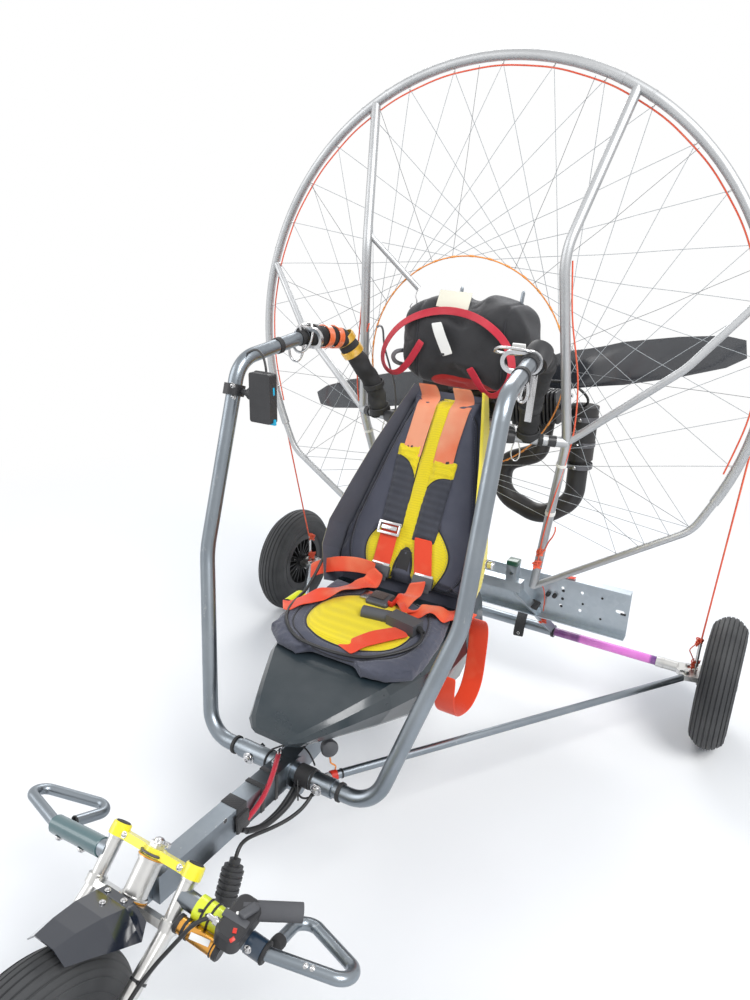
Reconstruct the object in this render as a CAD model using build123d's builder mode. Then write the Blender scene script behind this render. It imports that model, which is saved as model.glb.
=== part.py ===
"""A three-wheeled powered paraglider trike, parked on its wheels.

The frame stands on Z = 0 with X across, the pilot facing -Y, and the
middle of its length at Y = 0. The pilot's left side is +X.
"""
import os
from math import atan2, cos, degrees, radians, sin, tan

from build123d import *

# Clearances between pieces that are bolted, seated or turn on each other
RUN_GAP = 0.3
SEAT_GAP = 2 * RUN_GAP
PIN_CLEARANCE = 0.06
OVERLAP = 4

# Wheels and stance
WHEELBASE = 1736
TRACK = 1544
TYRE_DIAMETER = 400
TYRE_WIDTH = 100
BEAD_LIP = 6
RIM_DIAMETER = 206
RIM_WIDTH = 74
RIM_DEPTH = 14
RIM_WALL = 4
RIM_SPOKES = 20
SPOKE_THICKNESS = 4
SPOKE_INSET = 12
HUB_DIAMETER = 46
HUB_LENGTH = 96
FRONT_HUB_LENGTH = 100
WHEEL_PIN = 20
PIN_HEAD = 4
AXLE_HEIGHT = TYRE_DIAMETER / 2
FRONT_Y = -WHEELBASE / 2
REAR_Y = WHEELBASE / 2

# Keel beam with its head tube, as y and z of the beam's middle line
BEAM_WIDTH = 40
BEAM_DEPTH = 60
BEAM_WALL = 3
BEAM_FRONT = (-600, 336)
BEAM_KNEE = (-209, 312)
BEAM_BACK = (708, 402)
HEAD_TILT = 45
HEAD_Y = -617
HEAD_Z = 371
HEAD_LENGTH = 72
HEAD_DIAMETER = 44
HEAD_CUP = 50
HEAD_CUP_LENGTH = 7
STEM_DIAMETER = 25

# Front cross tube, and the two plates that hold it in the beam
CROSS_DIAMETER = 42
CROSS_LENGTH = 250
CROSS_PLATE = 66
CROSS_PLATE_THICKNESS = 6

# Cabin hoops, as corners on the pilot's left after the cross tube
HOOP_DIAMETER = 35
HOOP_PLUG = 45
HOOP_CORNERS = ((220, -209, 312), (330, -74, 702), (328, 63, 1136), (298, 283, 1171))
HOOP_BENDS = (75, 220, 75)

# Hang arms from the hoop tips down to the stubs, in foam
ARM_DIAMETER = 56
ARM_CORNERS = ((298, 283, 1171), (285, 442, 1152), (230, 516, 1020), (221, 549, 925))
ARM_BENDS = (70, 55)

# Front fork and its two clamps
FORK_HALF = 88
FORK_DIAMETER = 27
FORK_EYE = 34
FORK_EYE_LENGTH = 32
CLAMP_THICKNESS = 14
CLAMP_EYE = 36
CLAMP_WIDTH = 22
CROWN_THICKNESS = 12
CROWN_WIDTH = 30
CROWN_EYE = 36
NUT_SIZE = 15
NUT_HEIGHT = 9

# Mudguard sections: y and z of the top, half width on top, half width low, drop of the sides
MUDGUARD_SECTIONS = (
    (-806, 418, 22, 44, -22),
    (-770, 415, 26, 56, -32),
    (-725, 404, 31, 64, -46),
    (-683, 386, 34, 64, -56),
    (-665, 381, 32, 58, -28),
)
MUDGUARD_WALL = 3
BRACKET_WIDTH = 36
BRACKET_THICKNESS = 4

# Foot bars, as corners on the pilot's left
FOOT_SLEEVE_END = (255, -600, 343)
FOOT_CORNERS = ((432, -552, 326), (238, -472, 288), (249, -565, 323))
FOOT_BENDS = (26, 26)
FOOT_BAR_DIAMETER = 22
FOOT_BAR_WALL = 2
FOOT_SLEEVE_DIAMETER = 32

# Small controls on the pilot's left foot bar, as distances along its sleeve
COVER_START = 34
COVER_LENGTH = 68
COVER_DIAMETER = 42
RESERVOIR_START = 20
RESERVOIR_LENGTH = 86
RESERVOIR_DIAMETER = 28
HOUSING_START = 92
HOUSING_LENGTH = 46
HOUSING_WIDTH = 84
HOUSING_HEIGHT = 30
HOUSING_AHEAD = 6
GRIP_LENGTH = 68
GRIP_DIAMETER = 31
GRIP_BEHIND = 14
GRIP_TURN = 33

# Propeller cage
CAGE_Y = 695
CAGE_Z = 1101
CAGE_RADIUS = 740
CAGE_TUBE = 25
CAGE_ARC_END = -24
SPOKE_DIAMETER = 25
SPOKE_ANGLE = 61.8
SPOKE_BEND = (270, 529, 1386)
SPOKE_BENDS = (160, 200)
SIDE_ANGLE = 17.4
SIDE_BEND = (563, 640, 1136)
SIDE_BEND_RADIUS = 160
LEG_DIAMETER = 20
LEG_RUN = 92
LEG_BEND = 110
JOINT_LEFT = (311, 597, 920)
STUB_END = (175, 529, 931)
STUB_DIAMETER = 28
CAGE_FOOT = (231, 713, 431)
STRUT_FROM = 1420
STRUT_TIP = (-150, 610, 1279)
STRUT_DIAMETER = 16

# Engine mount loop behind the seat
LOOP_HALF = 162
LOOP_FRONT = 520
LOOP_BACK = 620
LOOP_Z = 931
LOOP_DIAMETER = 25
LOOP_BEND = 45
MOUNT_BAR = 22
MOUNT_BARS = (-20, 80)

# Rear frame, axle and channel
REAR_BAR_HALF = 205
REAR_BAR_Y = 690
REAR_BAR_Z = 432
SQUARE_BAR = 32
UPRIGHT_X = 172
UPRIGHT_TOP = 498
UPRIGHT_HOLE = 11
STRUT_BAR = 25
STRUT_FOOT_X = 262
STRUT_FOOT_AHEAD = 6
STRUT_FOOT_RISE = 12
AXLE_Z = AXLE_HEIGHT + 12
AXLE_SLEEVE = 275
AXLE_SLEEVE_DIAMETER = 34
AXLE_ROD_DIAMETER = 27
ROD_PLUG = 90
ROD_END = TRACK / 2 - 158
CHANNEL_HALF = 503
CHANNEL_Y = 800
CHANNEL_Z = 302
CHANNEL_DEPTH = 152
CHANNEL_FLANGE = 32
CHANNEL_WALL = 3
CHANNEL_HOLE_X = 330
CHANNEL_HOLE_PITCH = 60
CHANNEL_HOLE_R = 5
CHANNEL_SLOT = (26, 11)

# Rear hub brackets, on the pilot's left
SOCKET_DIAMETER = 32
SOCKET_LENGTH = 62
PLATE_THICKNESS = 16
PLATE_HOLE = 14
HUB_POST_X = TRACK / 2 - 69
HUB_POST_RISE = 97
PLATE_OVER_SOCKET = 22
PLATE_SHORT_OF_HUB = 6
# The plate's corners: distance out from its inner edge, or None for its outer edge, and y
PLATE_CORNERS = ((0, 20), (None, 36), (None, -44), (28, -52), (0, -20), (0, 20))
PLATE_HOLE_PLACE = (18, -30)
FLANGE_INNER = 4
FLANGE_OUTER = 5
HUB_POST = 10
STUB_FLANGE = 50

# Radius rods under the seat, and the stays from the cage down to the hub posts
RADIUS_ROD_DIAMETER = 20
RADIUS_BACK_INSET = 88
RADIUS_BACK_AHEAD = 30
RADIUS_BACK_DROP = 6
RADIUS_BACK = (TRACK / 2 - RADIUS_BACK_INSET, REAR_Y - RADIUS_BACK_AHEAD, AXLE_Z - RADIUS_BACK_DROP)
RADIUS_FRONT = (20, -198, 263)
ROD_LUG_HALF = 33
ROD_LUG_DIAMETER = 30
ROD_LUG_ROOM = 2 * ROD_LUG_DIAMETER + SEAT_GAP
STAY_ANGLE = -4.5
STAY_DIAMETER = 5

# Seat base sections: y, half width at the top edge, half width low, lowest and highest z
SEAT_HALF = 213
SEAT_BASE_SECTIONS = (
    (-264, 50, 42, 424, 438),
    (-240, 76, 62, 412, 446),
    (-150, 124, 102, 394, 464),
    (-50, 172, 142, 370, 484),
    (60, 206, 174, 342, 496),
    (180, SEAT_HALF, 184, 318, 507),
    (300, SEAT_HALF, 184, 302, 518),
    (430, 186, 160, 298, 530),
    (470, 156, 134, 306, 524),
)
SEAT_EDGE = 0.42
SEAT_CREASE = (0, 270, 548)
BACK_TILT = 28
# Seat back sections up from the crease: height, half width, wing forward, depth behind
SEAT_BACK_SECTIONS = (
    (-30, 196, 52, 46),
    (60, SEAT_HALF, 82, 46),
    (130, 211, 84, 46),
    (240, 186, 72, 44),
    (360, 158, 55, 42),
    (480, 124, 34, 41),
    (548, 104, 20, 40),
)
SEAT_WALL = 5
SHELL_CORNER = 17
BACK_CUSHION = 34
CUSHION_CORNER = 13
CUSHION_STATIONS = (14, 60, 130, 240, 360, 480, 530)
SEAT_CUSHION = 30
SEAT_CUSHION_TOP = 521
SEAT_RISE = 5.3
SEAT_CUSHION_OUTLINE = (
    (-204, 46), (-200, -10), (-150, -48), (-87, -58), (-58, -34), (58, -34), (87, -58),
    (150, -48), (200, -10), (204, 46), (196, 150), (172, 250), (-172, 250), (-196, 150), (-204, 46),
)

# Harness: distances up the seat back from the crease, half spacings, and places on the cushion
WEBBING = 50
WEBBING_THICKNESS = 3
PAD_WIDTH = 70
PAD_THICKNESS = 14
STRAP_UPPER = ((528, 63), (480, 60), (360, 54), (332, 53))
STRAP_LOWER = ((138, 46), (130, 46), (60, 54), (40, 58))
PADS = ((330, 53), (240, 49), (140, 46))
LAP_INNER = (36, 192)
LAP_OUTER = (184, 226)
BUCKLE = (62, 56, 20)
BUCKLE_Y = 190
TAIL_ROUTE = ((86, 470), (76, 400), (120, 342), (200, 322), (262, 372), (272, 470), (262, 552))
TAIL_BENDS = (60, 44, 60, 50, 120)

# Gear bag
BAG_Y = 645
BAG_SIZE = (376, 184, 238)
BAG_LOBE = 88
BAG_EDGE = 44

# Engine, drive and propeller
PROP_Y = 880
PROP_Z = 1010
PROP_HUB = 90
PROP_HUB_LENGTH = 40
PROP_TURN = 13
SHAFT_DIAMETER = 25
CRANK_X = 30
CRANK_Z = 952
CASE_DIAMETER = 146
CASE_LUGS = (60, 120, 240, 300)
CASE_LUG_R = 9
CASE_FRONT = 690
CASE_BACK = 780
STARTER_DIAMETER = 150
STARTER_DEPTH = 24
CYLINDER_Y = 735
CYLINDER_TILT = 8
BARREL_DIAMETER = 68
FIN_WIDTH = 100
FIN_CORNER = 18
FIN_COUNT = 12
FIN_PITCH = 11
FIN_THICKNESS = 5
FIN_START = 92
DRIVE_FRONT = 790
DRIVE_DEPTH = 34
DRIVE_CRANK_R = 44
DRIVE_SHAFT_R = 58
AIRBOX_SIZE = (84, 76, 124)
AIRBOX_MIDDLE = (-128, 742, 960)
CARB_DIAMETER = 38
EXHAUST_DIAMETER = 56
EXHAUST_CORNERS = (
    (206, 735, 938), (196, 742, 838), (92, 750, 790), (88, 752, 690), (220, 754, 640),
    (309, 754, 712), (309, 754, 900),
)
EXHAUST_BENDS = (40, 60, 70, 80, 80)
SILENCER = ((309, 754, 838), (309, 754, 990))
SILENCER_DIAMETER = 74
# Blade stations: distance out, chord, thickness, pitch angle
BLADE_STATIONS = (
    (46, 52, 20, 40), (110, 88, 17, 32), (220, 118, 14, 24), (380, 122, 12, 18),
    (530, 108, 9, 14), (640, 84, 6, 11), (690, 46, 3, 10),
)

# Holder for a hand-held instrument on the pilot's right hoop
HOLDER_Z = 1069
HOLDER_RING = 50
HOLDER_RING_LENGTH = 26
HOLDER_ARM = 14
HOLDER_CASE = (58, 26, 112)
HOLDER_CASE_X = -222

# Shackles at the hoop tips
SHACKLE_BAR = 9
SHACKLE_LENGTH = 92

# Free leads and what hangs on them
LEAD_DIAMETER = 8
PLUG_DIAMETER = 44
PLUG_LENGTH = 82
PLUG_RIBS = 5
PLUG_RIB_PITCH = 11
HAND_GRIP = ((-8, 118), (64, 127))
HAND_GRIP_DIAMETER = 32
HAND_BODY = ((66, 127), (146, 114))
HAND_BODY_SIZE = (40, 30)
HAND_LIFT = 2.5
SEAT_LEAD_ROUTE = (
    (146, 114), (172, 98), (168, 60), (136, 10), (86, -26), (24, -42), (-44, -44), (-104, -36),
    (-154, -4), (-186, 46), (-198, 104), (-201, 160),
)
SEAT_LEAD_END = (-206, 232, 596)
BEAM_LEAD_ROUTE = (
    (84, -222, 300), (84, -252, 284), (74, -292, 276), (60, -334, 278), (50, -372, 288),
    (47, -404, 300), (50, -430, 302), (52, -441, 286),
)
BRAKE_LEAD_DIAMETER = 7
BRAKE_LEAD_START = ((0, 0, 0), (22, 6, 0), (36, 26, 8))
BRAKE_LEAD_CLIPS = (0.3, 0.82)
BRAKE_LEAD_TURN = 40


def bent_tube(points, diameter, bends, wall=0):
    """A round tube along straight runs joined by arcs; no wall is a solid rod."""
    with BuildPart() as tube:
        with BuildLine() as path:
            if len(points) > 2:
                FilletPolyline(*points, radius=bends)
            else:
                Line(*points)
        with BuildSketch(Plane(origin=path.line @ 0, z_dir=path.line % 0)):
            Circle(diameter / 2)
            if wall:
                Circle(diameter / 2 - wall, mode=Mode.SUBTRACT)
        sweep()
    return tube.part


def box_tube(start, end, width, depth, wall=0):
    """A square tube between two points, its width kept level across the run."""
    run = Vector(*end) - Vector(*start)
    level = Vector(0, 0, 1).cross(run)
    if level.length < 1:
        level = Vector(1, 0, 0)
    with BuildPart() as tube:
        with BuildSketch(Plane(origin=start, x_dir=level, z_dir=run)):
            Rectangle(width, depth)
            if wall:
                Rectangle(width - 2 * wall, depth - 2 * wall, mode=Mode.SUBTRACT)
        extrude(amount=run.length)
    return tube.part


def round_bar(start, end, diameter, bore=0):
    """A round bar or bush between two points."""
    return bent_tube([start, end], diameter, 0, (diameter - bore) / 2 if bore else 0)


def side(point, sign):
    """The point on the pilot's left for a sign of 1, and its mirror image for -1."""
    return (sign * point[0], point[1], point[2])


def joined(*pieces):
    """One part from pieces that run into each other, or from like pieces apart."""
    with BuildPart() as whole:
        for piece in pieces:
            add(piece)
    return whole.part


def cut_by(piece, *others):
    """A piece with room cut in it for the pieces that it carries or sits round."""
    with BuildPart() as notched:
        add(piece)
        for other in others:
            add(other, mode=Mode.SUBTRACT)
    return notched.part


def spread(first, second, share):
    """The point a share of the way from one point to another."""
    return tuple(a + (b - a) * share for a, b in zip(first, second))


def cord_bends(points):
    """Arc radii for a free lead, each as large as its two runs allow."""
    bends = []
    for before, here, after in zip(points, points[1:], points[2:]):
        run_in = Vector(*here) - Vector(*before)
        run_out = Vector(*after) - Vector(*here)
        turn = radians(run_in.get_angle(run_out))
        bends.append(0.45 * min(run_in.length, run_out.length) / tan(turn / 2))
    return bends


def written(part, label):
    """Names a finished piece and writes its file."""
    part.label = label
    export_step(part, f"parts/{label}.step")


os.makedirs("parts", exist_ok=True)
SIDES = (("left", 1), ("right", -1))


# Tyres and rims
def wheel_tyre(centre):
    """A tyre with round shoulders and a flatter tread, open at its beads."""
    bead = RIM_DIAMETER / 2
    half = TYRE_WIDTH / 2
    outer = TYRE_DIAMETER / 2
    foot = RIM_WIDTH / 2
    shoulder = (half * 0.68, outer - 9)
    with BuildPart() as tyre:
        with BuildSketch(Plane.XZ):
            with BuildLine():
                Polyline((2 - foot + BEAD_LIP, bead), (2 - foot, bead + BEAD_LIP))
                ThreePointArc((2 - foot, bead + BEAD_LIP), (-half, (bead + outer) / 2),
                              (-shoulder[0], shoulder[1]))
                ThreePointArc((-shoulder[0], shoulder[1]), (0, outer), shoulder)
                ThreePointArc(shoulder, (half, (bead + outer) / 2), (foot - 2, bead + BEAD_LIP))
                Polyline((foot - 2, bead + BEAD_LIP), (foot - 2 - BEAD_LIP, bead),
                         (2 - foot + BEAD_LIP, bead))
            make_face()
        revolve(axis=Axis.X)
    return tyre.part.moved(Location(centre))


def wheel_rim(centre, hub_length):
    """A spoked rim: a dished well, two flanges, thin radial spokes and a bored hub."""
    seat = RIM_DIAMETER / 2 - RUN_GAP
    well = seat - RIM_DEPTH
    half = RIM_WIDTH / 2 + 1.6
    lip = seat + BEAD_LIP
    with BuildPart() as rim:
        with BuildSketch(Plane.XZ):
            with BuildLine():
                Polyline((-half, lip), (-half, well), (half, well), (half, lip), (half - 3, lip),
                         (half - 3 - BEAD_LIP, seat), (half - 18, well + RIM_WALL),
                         (18 - half, well + RIM_WALL), (3 + BEAD_LIP - half, seat),
                         (3 - half, lip), (-half, lip))
            make_face()
        revolve(axis=Axis.X)
        with BuildSketch(Plane.YZ.offset(-hub_length / 2)):
            Circle(HUB_DIAMETER / 2)
        extrude(amount=hub_length)
        with BuildSketch(Plane.YZ.offset(SPOKE_INSET - half)):
            with PolarLocations((HUB_DIAMETER / 2 + well) / 2, RIM_SPOKES):
                Rectangle(well - HUB_DIAMETER / 2 + 2 * OVERLAP, SPOKE_THICKNESS)
        extrude(amount=2 * (half - SPOKE_INSET))
        with BuildSketch(Plane.YZ.offset(-hub_length / 2)):
            Circle(WHEEL_PIN / 2 + PIN_CLEARANCE)
        extrude(amount=hub_length, mode=Mode.SUBTRACT)
    return rim.part.moved(Location(centre))


WHEELS = (
    ("front", (0, FRONT_Y, AXLE_HEIGHT), FRONT_HUB_LENGTH),
    ("rear_left", (TRACK / 2, REAR_Y, AXLE_HEIGHT), HUB_LENGTH),
    ("rear_right", (-TRACK / 2, REAR_Y, AXLE_HEIGHT), HUB_LENGTH),
)
for place, centre, hub_length in WHEELS:
    written(wheel_tyre(centre), f"{place}_tyre")
    written(wheel_rim(centre, hub_length), f"{place}_rim")

# Steering axis, worked out once from the head tube's middle and tilt
tilt = radians(HEAD_TILT)
down = Vector(0, -sin(tilt), -cos(tilt))
ahead = Vector(0, -cos(tilt), sin(tilt))
head_middle = Vector(0, HEAD_Y, HEAD_Z)


def on_axis(along, out=0, x=0):
    """A point measured down the steering axis, ahead of it, and across."""
    return head_middle + down * along + ahead * out + Vector(x, 0, 0)


# Head tube with a cup at each end
head_top = on_axis(-HEAD_LENGTH / 2)
head_foot = on_axis(HEAD_LENGTH / 2)
head_bore = STEM_DIAMETER + 2 * PIN_CLEARANCE
cup_top = round_bar(head_top, on_axis(HEAD_CUP_LENGTH - HEAD_LENGTH / 2), HEAD_CUP, head_bore)
cup_foot = round_bar(on_axis(HEAD_LENGTH / 2 - HEAD_CUP_LENGTH), head_foot, HEAD_CUP, head_bore)
written(joined(round_bar(head_top, head_foot, HEAD_DIAMETER, head_bore), cup_top, cup_foot),
        "head_tube")

# Front cross tube: two round plates, and open ends that the hoops plug into
cross_y, cross_z = BEAM_KNEE
cross_half = CROSS_LENGTH / 2
hoop_bore = HOOP_DIAMETER + SEAT_GAP
cross_pieces = [round_bar((-cross_half, cross_y, cross_z), (cross_half, cross_y, cross_z),
                          CROSS_DIAMETER, hoop_bore)]
plate_in = BEAM_WIDTH / 2 + RUN_GAP
for name, sign in SIDES:
    plate_out = plate_in + CROSS_PLATE_THICKNESS
    cross_pieces.append(round_bar((sign * plate_in, cross_y, cross_z),
                                  (sign * plate_out, cross_y, cross_z), CROSS_PLATE, hoop_bore))
cross_tube = joined(*cross_pieces)
written(cross_tube, "front_cross_tube")

# Keel beam, one bent box tube cut round the head tube, the cross tube and the rear cross bar
beam_points = [(0, *BEAM_FRONT), (0, *BEAM_KNEE), (0, *BEAM_BACK)]
with BuildPart() as beam:
    with BuildLine() as path:
        Polyline(*beam_points)
    with BuildSketch(Plane(origin=path.line @ 0, x_dir=(1, 0, 0), z_dir=path.line % 0)):
        Rectangle(BEAM_WIDTH, BEAM_DEPTH)
        Rectangle(BEAM_WIDTH - 2 * BEAM_WALL, BEAM_DEPTH - 2 * BEAM_WALL, mode=Mode.SUBTRACT)
    sweep(transition=Transition.RIGHT)
head_room = round_bar(head_top - down * OVERLAP, head_foot + down * OVERLAP,
                      HEAD_DIAMETER + SEAT_GAP)
cup_fit = HEAD_CUP_LENGTH + RUN_GAP
cup_rooms = [round_bar(on_axis(sign * (HEAD_LENGTH / 2 + HEAD_CUP)),
                       on_axis(sign * (HEAD_LENGTH / 2 - cup_fit)), HEAD_CUP + SEAT_GAP)
             for name, sign in SIDES]
cross_room = round_bar((-BEAM_WIDTH, cross_y, cross_z), (BEAM_WIDTH, cross_y, cross_z),
                       CROSS_DIAMETER + SEAT_GAP)
bar_room = box_tube((-REAR_BAR_HALF, REAR_BAR_Y, REAR_BAR_Z), (REAR_BAR_HALF, REAR_BAR_Y, REAR_BAR_Z),
                    SQUARE_BAR + SEAT_GAP, SQUARE_BAR + SEAT_GAP)

# Radius rods from the hub brackets forward to a lug hung under the beam
lug_y = RADIUS_FRONT[1]
lug_z = RADIUS_FRONT[2]
beam_z = spread((BEAM_KNEE[1],), (BEAM_BACK[1],),
                (lug_y - BEAM_KNEE[0]) / (BEAM_BACK[0] - BEAM_KNEE[0]))[0]
with BuildPart() as lug:
    add(round_bar((-ROD_LUG_HALF, lug_y, lug_z), (ROD_LUG_HALF, lug_y, lug_z), ROD_LUG_DIAMETER))
    add(box_tube((0, lug_y, lug_z), (0, lug_y, beam_z - BEAM_DEPTH / 2 + BEAM_WALL),
                 BEAM_WIDTH - 2 * BEAM_WALL, ROD_LUG_DIAMETER))
beam_shape = cut_by(beam.part, head_room, *cup_rooms, cross_room, bar_room)
written(joined(beam_shape, cut_by(lug.part, cross_room)), "keel_beam")


def hub_plate(sign, margin=0):
    """The flat plate of a rear hub bracket, or the room that it needs."""
    inner_x = ROD_END + SOCKET_LENGTH - PLATE_OVER_SOCKET
    outer_x = TRACK / 2 - HUB_LENGTH / 2 - PLATE_SHORT_OF_HUB
    outline = [(outer_x if out is None else inner_x + out, REAR_Y + y) for out, y in PLATE_CORNERS]
    with BuildPart() as plate:
        with BuildSketch(Plane.XY.offset(AXLE_Z - PLATE_THICKNESS / 2 - margin)):
            with BuildLine():
                Polyline(*[(sign * x, y) for x, y in outline])
            make_face()
            if margin:
                offset(amount=margin)
            else:
                with Locations((sign * (inner_x + PLATE_HOLE_PLACE[0]), REAR_Y + PLATE_HOLE_PLACE[1])):
                    Circle(PLATE_HOLE / 2, mode=Mode.SUBTRACT)
        extrude(amount=PLATE_THICKNESS + 2 * margin)
    return plate.part


rods = []
for name, sign in SIDES:
    rod = round_bar(side(RADIUS_BACK, sign), side(RADIUS_FRONT, sign), RADIUS_ROD_DIAMETER)
    lug_room = round_bar((-ROD_LUG_HALF - RUN_GAP, lug_y, lug_z), (ROD_LUG_HALF + RUN_GAP, lug_y, lug_z),
                         ROD_LUG_ROOM)
    rods.append(cut_by(rod, lug_room, hub_plate(sign, RUN_GAP)))
written(joined(*rods), "radius_rods")

# Cabin hoops, plugged into the cross tube's ends
for name, sign in SIDES:
    points = [side((cross_half - HOOP_PLUG, cross_y, cross_z), sign)]
    points += [side(point, sign) for point in HOOP_CORNERS]
    written(bent_tube(points, HOOP_DIAMETER, HOOP_BENDS), f"hoop_{name}")

# Propeller cage: an arc over the top, bent legs below, and spokes from one joint a side
arc_end = radians(CAGE_ARC_END)


def cage_ring(diameter):
    """The cage's arc as a rod of the given size."""
    with BuildPart() as ring:
        with BuildLine() as path:
            CenterArc((0, 0), CAGE_RADIUS, CAGE_ARC_END, 180 - 2 * CAGE_ARC_END)
        with BuildSketch(Plane(origin=path.line @ 0, z_dir=path.line % 0)):
            Circle(diameter / 2)
        sweep()
    return ring.part.moved(Location((0, CAGE_Y, CAGE_Z), (90, 0, 0)))


def on_cage(angle, inward=0):
    """A point of the cage circle at an angle above level on the pilot's left."""
    reach = CAGE_RADIUS - inward
    return (reach * cos(radians(angle)), CAGE_Y, CAGE_Z + reach * sin(radians(angle)))


written(cage_ring(CAGE_TUBE), "cage_arc")
ring_room = cage_ring(CAGE_TUBE + SEAT_GAP)
LOOP_POINTS = [(-LOOP_HALF, LOOP_FRONT, LOOP_Z), (-LOOP_HALF, LOOP_BACK, LOOP_Z),
               (LOOP_HALF, LOOP_BACK, LOOP_Z), (LOOP_HALF, LOOP_FRONT, LOOP_Z)]
mount_loop = bent_tube(LOOP_POINTS, LOOP_DIAMETER, LOOP_BEND)
loop_room = bent_tube(LOOP_POINTS, LOOP_DIAMETER + SEAT_GAP, LOOP_BEND)
legs = []
sides = []
stubs = []
arms = []
spoke_rooms = []
for name, sign in SIDES:
    arc_tip = Vector(*on_cage(CAGE_ARC_END))
    tangent = Vector(sin(arc_end), 0, -cos(arc_end))
    leg_points = [
        side(tuple(arc_tip + tangent * RUN_GAP), sign),
        side(tuple(arc_tip + tangent * LEG_RUN), sign),
        side(CAGE_FOOT, sign),
    ]
    spoke_points = [
        side(point, sign) for point in (on_cage(SPOKE_ANGLE), SPOKE_BEND, JOINT_LEFT, CAGE_FOOT)
    ]
    spoke = bent_tube(spoke_points, SPOKE_DIAMETER, SPOKE_BENDS)
    spoke_room = bent_tube(spoke_points, SPOKE_DIAMETER + SEAT_GAP, SPOKE_BENDS)
    spoke_rooms.append(spoke_room)
    written(cut_by(spoke, ring_room), f"cage_spoke_{name}")
    legs.append(cut_by(bent_tube(leg_points, LEG_DIAMETER, LEG_BEND), spoke_room))
    strut = bent_tube([side(point, sign) for point in (JOINT_LEFT, SIDE_BEND, on_cage(SIDE_ANGLE))],
                      LEG_DIAMETER, SIDE_BEND_RADIUS)
    sides.append(cut_by(strut, ring_room, spoke_room))
    stub_start = side(JOINT_LEFT, sign)
    stub = round_bar(stub_start, side(STUB_END, sign), STUB_DIAMETER)
    stub_room = round_bar(stub_start, side(STUB_END, sign), STUB_DIAMETER + SEAT_GAP)
    stubs.append(cut_by(stub, spoke_room, loop_room).solids().sort_by(SortBy.VOLUME)[-1])
    hoop_tip = Vector(*side(ARM_CORNERS[0], sign))
    tip_run = hoop_tip - Vector(*side(HOOP_CORNERS[-2], sign))
    arm_start = hoop_tip + tip_run.normalized() * RUN_GAP
    arm_points = [tuple(arm_start)] + [side(point, sign) for point in ARM_CORNERS[1:]]
    tip_room = round_bar(hoop_tip - tip_run.normalized() * HOOP_PLUG, arm_start, 2 * ARM_DIAMETER)
    arms.append(cut_by(bent_tube(arm_points, ARM_DIAMETER, ARM_BENDS), stub_room, tip_room))
written(joined(*legs), "cage_legs")
written(joined(*sides), "cage_sides")
written(joined(*stubs), "cage_stubs")
written(joined(*arms), "hang_arms")

# A short strut from the pilot's right spoke, with a free tip
spoke_run = spread(SPOKE_BEND, on_cage(SPOKE_ANGLE),
                   (STRUT_FROM - SPOKE_BEND[2]) / (on_cage(SPOKE_ANGLE)[2] - SPOKE_BEND[2]))
strut_bar = round_bar(side(spoke_run, -1), STRUT_TIP, STRUT_DIAMETER)
written(cut_by(strut_bar, spoke_rooms[1]), "cage_strut")

# Rear frame behind the seat: a cross bar, two capped uprights and struts to the axle
axle_hole = round_bar((-AXLE_SLEEVE, REAR_Y, AXLE_Z), (AXLE_SLEEVE, REAR_Y, AXLE_Z),
                      AXLE_SLEEVE_DIAMETER + SEAT_GAP)
rear_pieces = [box_tube((-REAR_BAR_HALF, REAR_BAR_Y, REAR_BAR_Z), (REAR_BAR_HALF, REAR_BAR_Y, REAR_BAR_Z),
                        SQUARE_BAR, SQUARE_BAR)]
strut_rooms = []
upright_holes = []
strut_foot = (STRUT_FOOT_X, REAR_Y - STRUT_FOOT_AHEAD, AXLE_Z + STRUT_FOOT_RISE)
for name, sign in SIDES:
    foot = side((UPRIGHT_X, REAR_BAR_Y, REAR_BAR_Z), sign)
    rear_pieces.append(box_tube(foot, side((UPRIGHT_X, REAR_BAR_Y, UPRIGHT_TOP), sign),
                                SQUARE_BAR, SQUARE_BAR))
    rear_pieces.append(box_tube(foot, side(strut_foot, sign), STRUT_BAR, STRUT_BAR))
    strut_rooms.append(box_tube(foot, side(strut_foot, sign), STRUT_BAR + SEAT_GAP,
                                STRUT_BAR + SEAT_GAP))
    hole_z = (REAR_BAR_Z + UPRIGHT_TOP + SQUARE_BAR / 2) / 2
    upright_holes.append(round_bar((sign * UPRIGHT_X, REAR_BAR_Y - SQUARE_BAR, hole_z),
                                   (sign * UPRIGHT_X, REAR_BAR_Y, hole_z), UPRIGHT_HOLE))
written(cut_by(joined(*rear_pieces), axle_hole, *spoke_rooms, *upright_holes), "rear_frame")

# Rear axle: a grey sleeve with the springy rods plugged into its ends
rod_bore = AXLE_ROD_DIAMETER + SEAT_GAP
written(round_bar((-AXLE_SLEEVE, REAR_Y, AXLE_Z), (AXLE_SLEEVE, REAR_Y, AXLE_Z),
                  AXLE_SLEEVE_DIAMETER, rod_bore), "axle_sleeve")
axle_rods = [
    round_bar(side((AXLE_SLEEVE - ROD_PLUG, REAR_Y, AXLE_Z), sign), side((ROD_END, REAR_Y, AXLE_Z), sign),
              AXLE_ROD_DIAMETER)
    for name, sign in SIDES
]
written(joined(*axle_rods), "axle_rods")

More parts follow.
